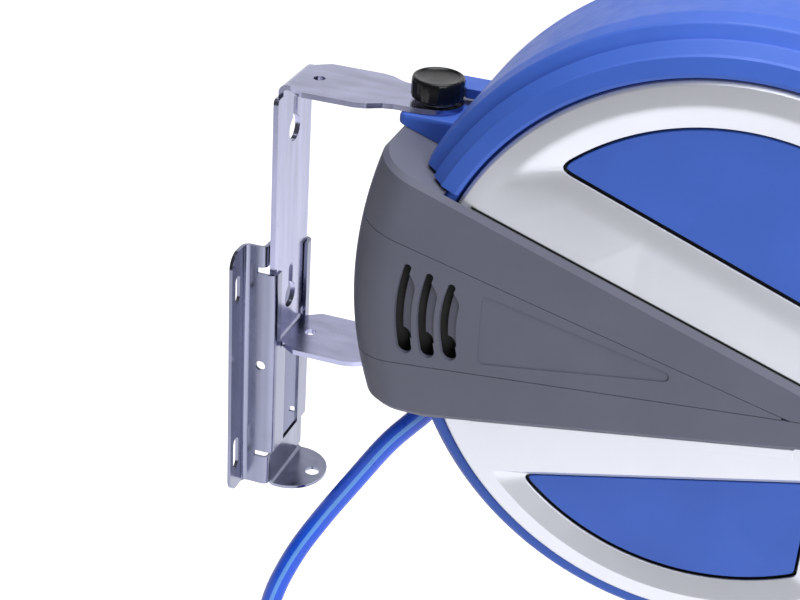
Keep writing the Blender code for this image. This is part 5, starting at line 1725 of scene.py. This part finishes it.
def stage_white():
    """The stage's material: white to the camera, plain pale to the light that falls on the part."""
    n = Nodes("stage_white")
    path = n.add("ShaderNodeLightPath")
    seen = n.add("ShaderNodeMath", operation="MAXIMUM")
    n.join(path.outputs["Is Camera Ray"], seen.inputs[0])
    n.join(path.outputs["Is Glossy Ray"], seen.inputs[1])
    both = n.add("ShaderNodeMath", operation="MAXIMUM")
    n.join(seen.outputs[0], both.inputs[0])
    n.join(path.outputs["Is Transmission Ray"], both.inputs[1])
    lift = n.add("ShaderNodeMath", operation="MULTIPLY")
    n.join(both.outputs[0], lift.inputs[0])
    lift.inputs[1].default_value = STAGE_LIFT
    n.shader.inputs["Base Color"].default_value = (0.82, 0.82, 0.83, 1.0)
    n.shader.inputs["Roughness"].default_value = 0.9
    n.shader.inputs["Emission Color"].default_value = (1.0, 1.0, 1.0, 1.0)
    n.join(lift.outputs[0], n.shader.inputs["Emission Strength"])
    n.material.cycles.emission_sampling = "NONE"
    return n.material


def floor_and_backdrop():
    """A floor that bends up into a wall behind the part."""
    bm = bmesh.new()
    far, near, half, bend = 3.0, -1.3, 4.0, 0.8
    section = [(near, FLOOR_Z), (far - bend, FLOOR_Z)]
    section += arc((far - bend, FLOOR_Z + bend), bend, -math.pi / 2, 0.0, 24)[1:]
    section.append((far, 3.2))
    rows = [[bm.verts.new((x, y, z)) for x in (-half, half)] for y, z in section]
    for (a, b), (c, d) in zip(rows, rows[1:]):
        bm.faces.new((a, b, d, c))
    mesh = bpy.data.meshes.new("floor_and_backdrop")
    bm.to_mesh(mesh)
    bm.free()
    mesh.shade_smooth()
    mesh.materials.append(stage_white())
    floor = bpy.data.objects.new("floor_and_backdrop", mesh)
    bpy.context.scene.collection.objects.link(floor)


def world_light():
    """An even world: white where the camera sees it and dim where it lights the part."""
    world = bpy.data.worlds.new("studio")
    bpy.context.scene.world = world
    world.use_nodes = True
    tree = world.node_tree
    background = tree.nodes["Background"]
    background.inputs["Color"].default_value = (1.0, 1.0, 1.0, 1.0)
    rays = tree.nodes.new("ShaderNodeLightPath")
    shown = tree.nodes.new("ShaderNodeMath")
    shown.operation = "MAXIMUM"
    tree.links.new(rays.outputs["Is Camera Ray"], shown.inputs[0])
    tree.links.new(rays.outputs["Is Transmission Ray"], shown.inputs[1])
    level = tree.nodes.new("ShaderNodeMapRange")
    level.inputs["To Min"].default_value = WORLD_LEVEL
    level.inputs["To Max"].default_value = 1.0
    tree.links.new(shown.outputs[0], level.inputs["Value"])
    tree.links.new(level.outputs["Result"], background.inputs["Strength"])


def soft_lamp(name, at, aim, size, energy):
    """A square lamp that points at a place."""
    data = bpy.data.lights.new(name, "AREA")
    data.shape = "SQUARE"
    data.size = size
    data.energy = energy
    lamp = bpy.data.objects.new(name, data)
    lamp.location = at
    lamp.rotation_euler = (Vector(at) - Vector(aim)).to_track_quat("Z", "Y").to_euler()
    bpy.context.scene.collection.objects.link(lamp)


def stage():
    """A pale floor and backdrop that show white, and soft lamps."""
    floor_and_backdrop()
    world_light()
    soft_lamp("key", (1.35, -1.05, 0.65), (0.25, 0, 0.05), 1.0, 22.0)
    soft_lamp("top", (0.30, -0.10, 1.5), (0.2, 0, 0.1), 1.1, 23.0)
    bpy.context.scene.view_settings.view_transform = "Standard"


supply_hose()
wall_bracket()
swivel_bracket()
clamp_knob()
pivot_neck()
for word, side in (("near", -1), ("far", 1)):
    housing(word, side)
    side_cover(word, side)
    window_inlay(word, side, True)
    window_inlay(word, side, False)
    vent_louvre(word, side)
top_guard()
belt()
outlet()
turned_pieces()
solid_turned()
wound_hose()
mainspring()
barrel_elbow()
supply_pipe()
pawl_spring()
dress_cad()
stage()
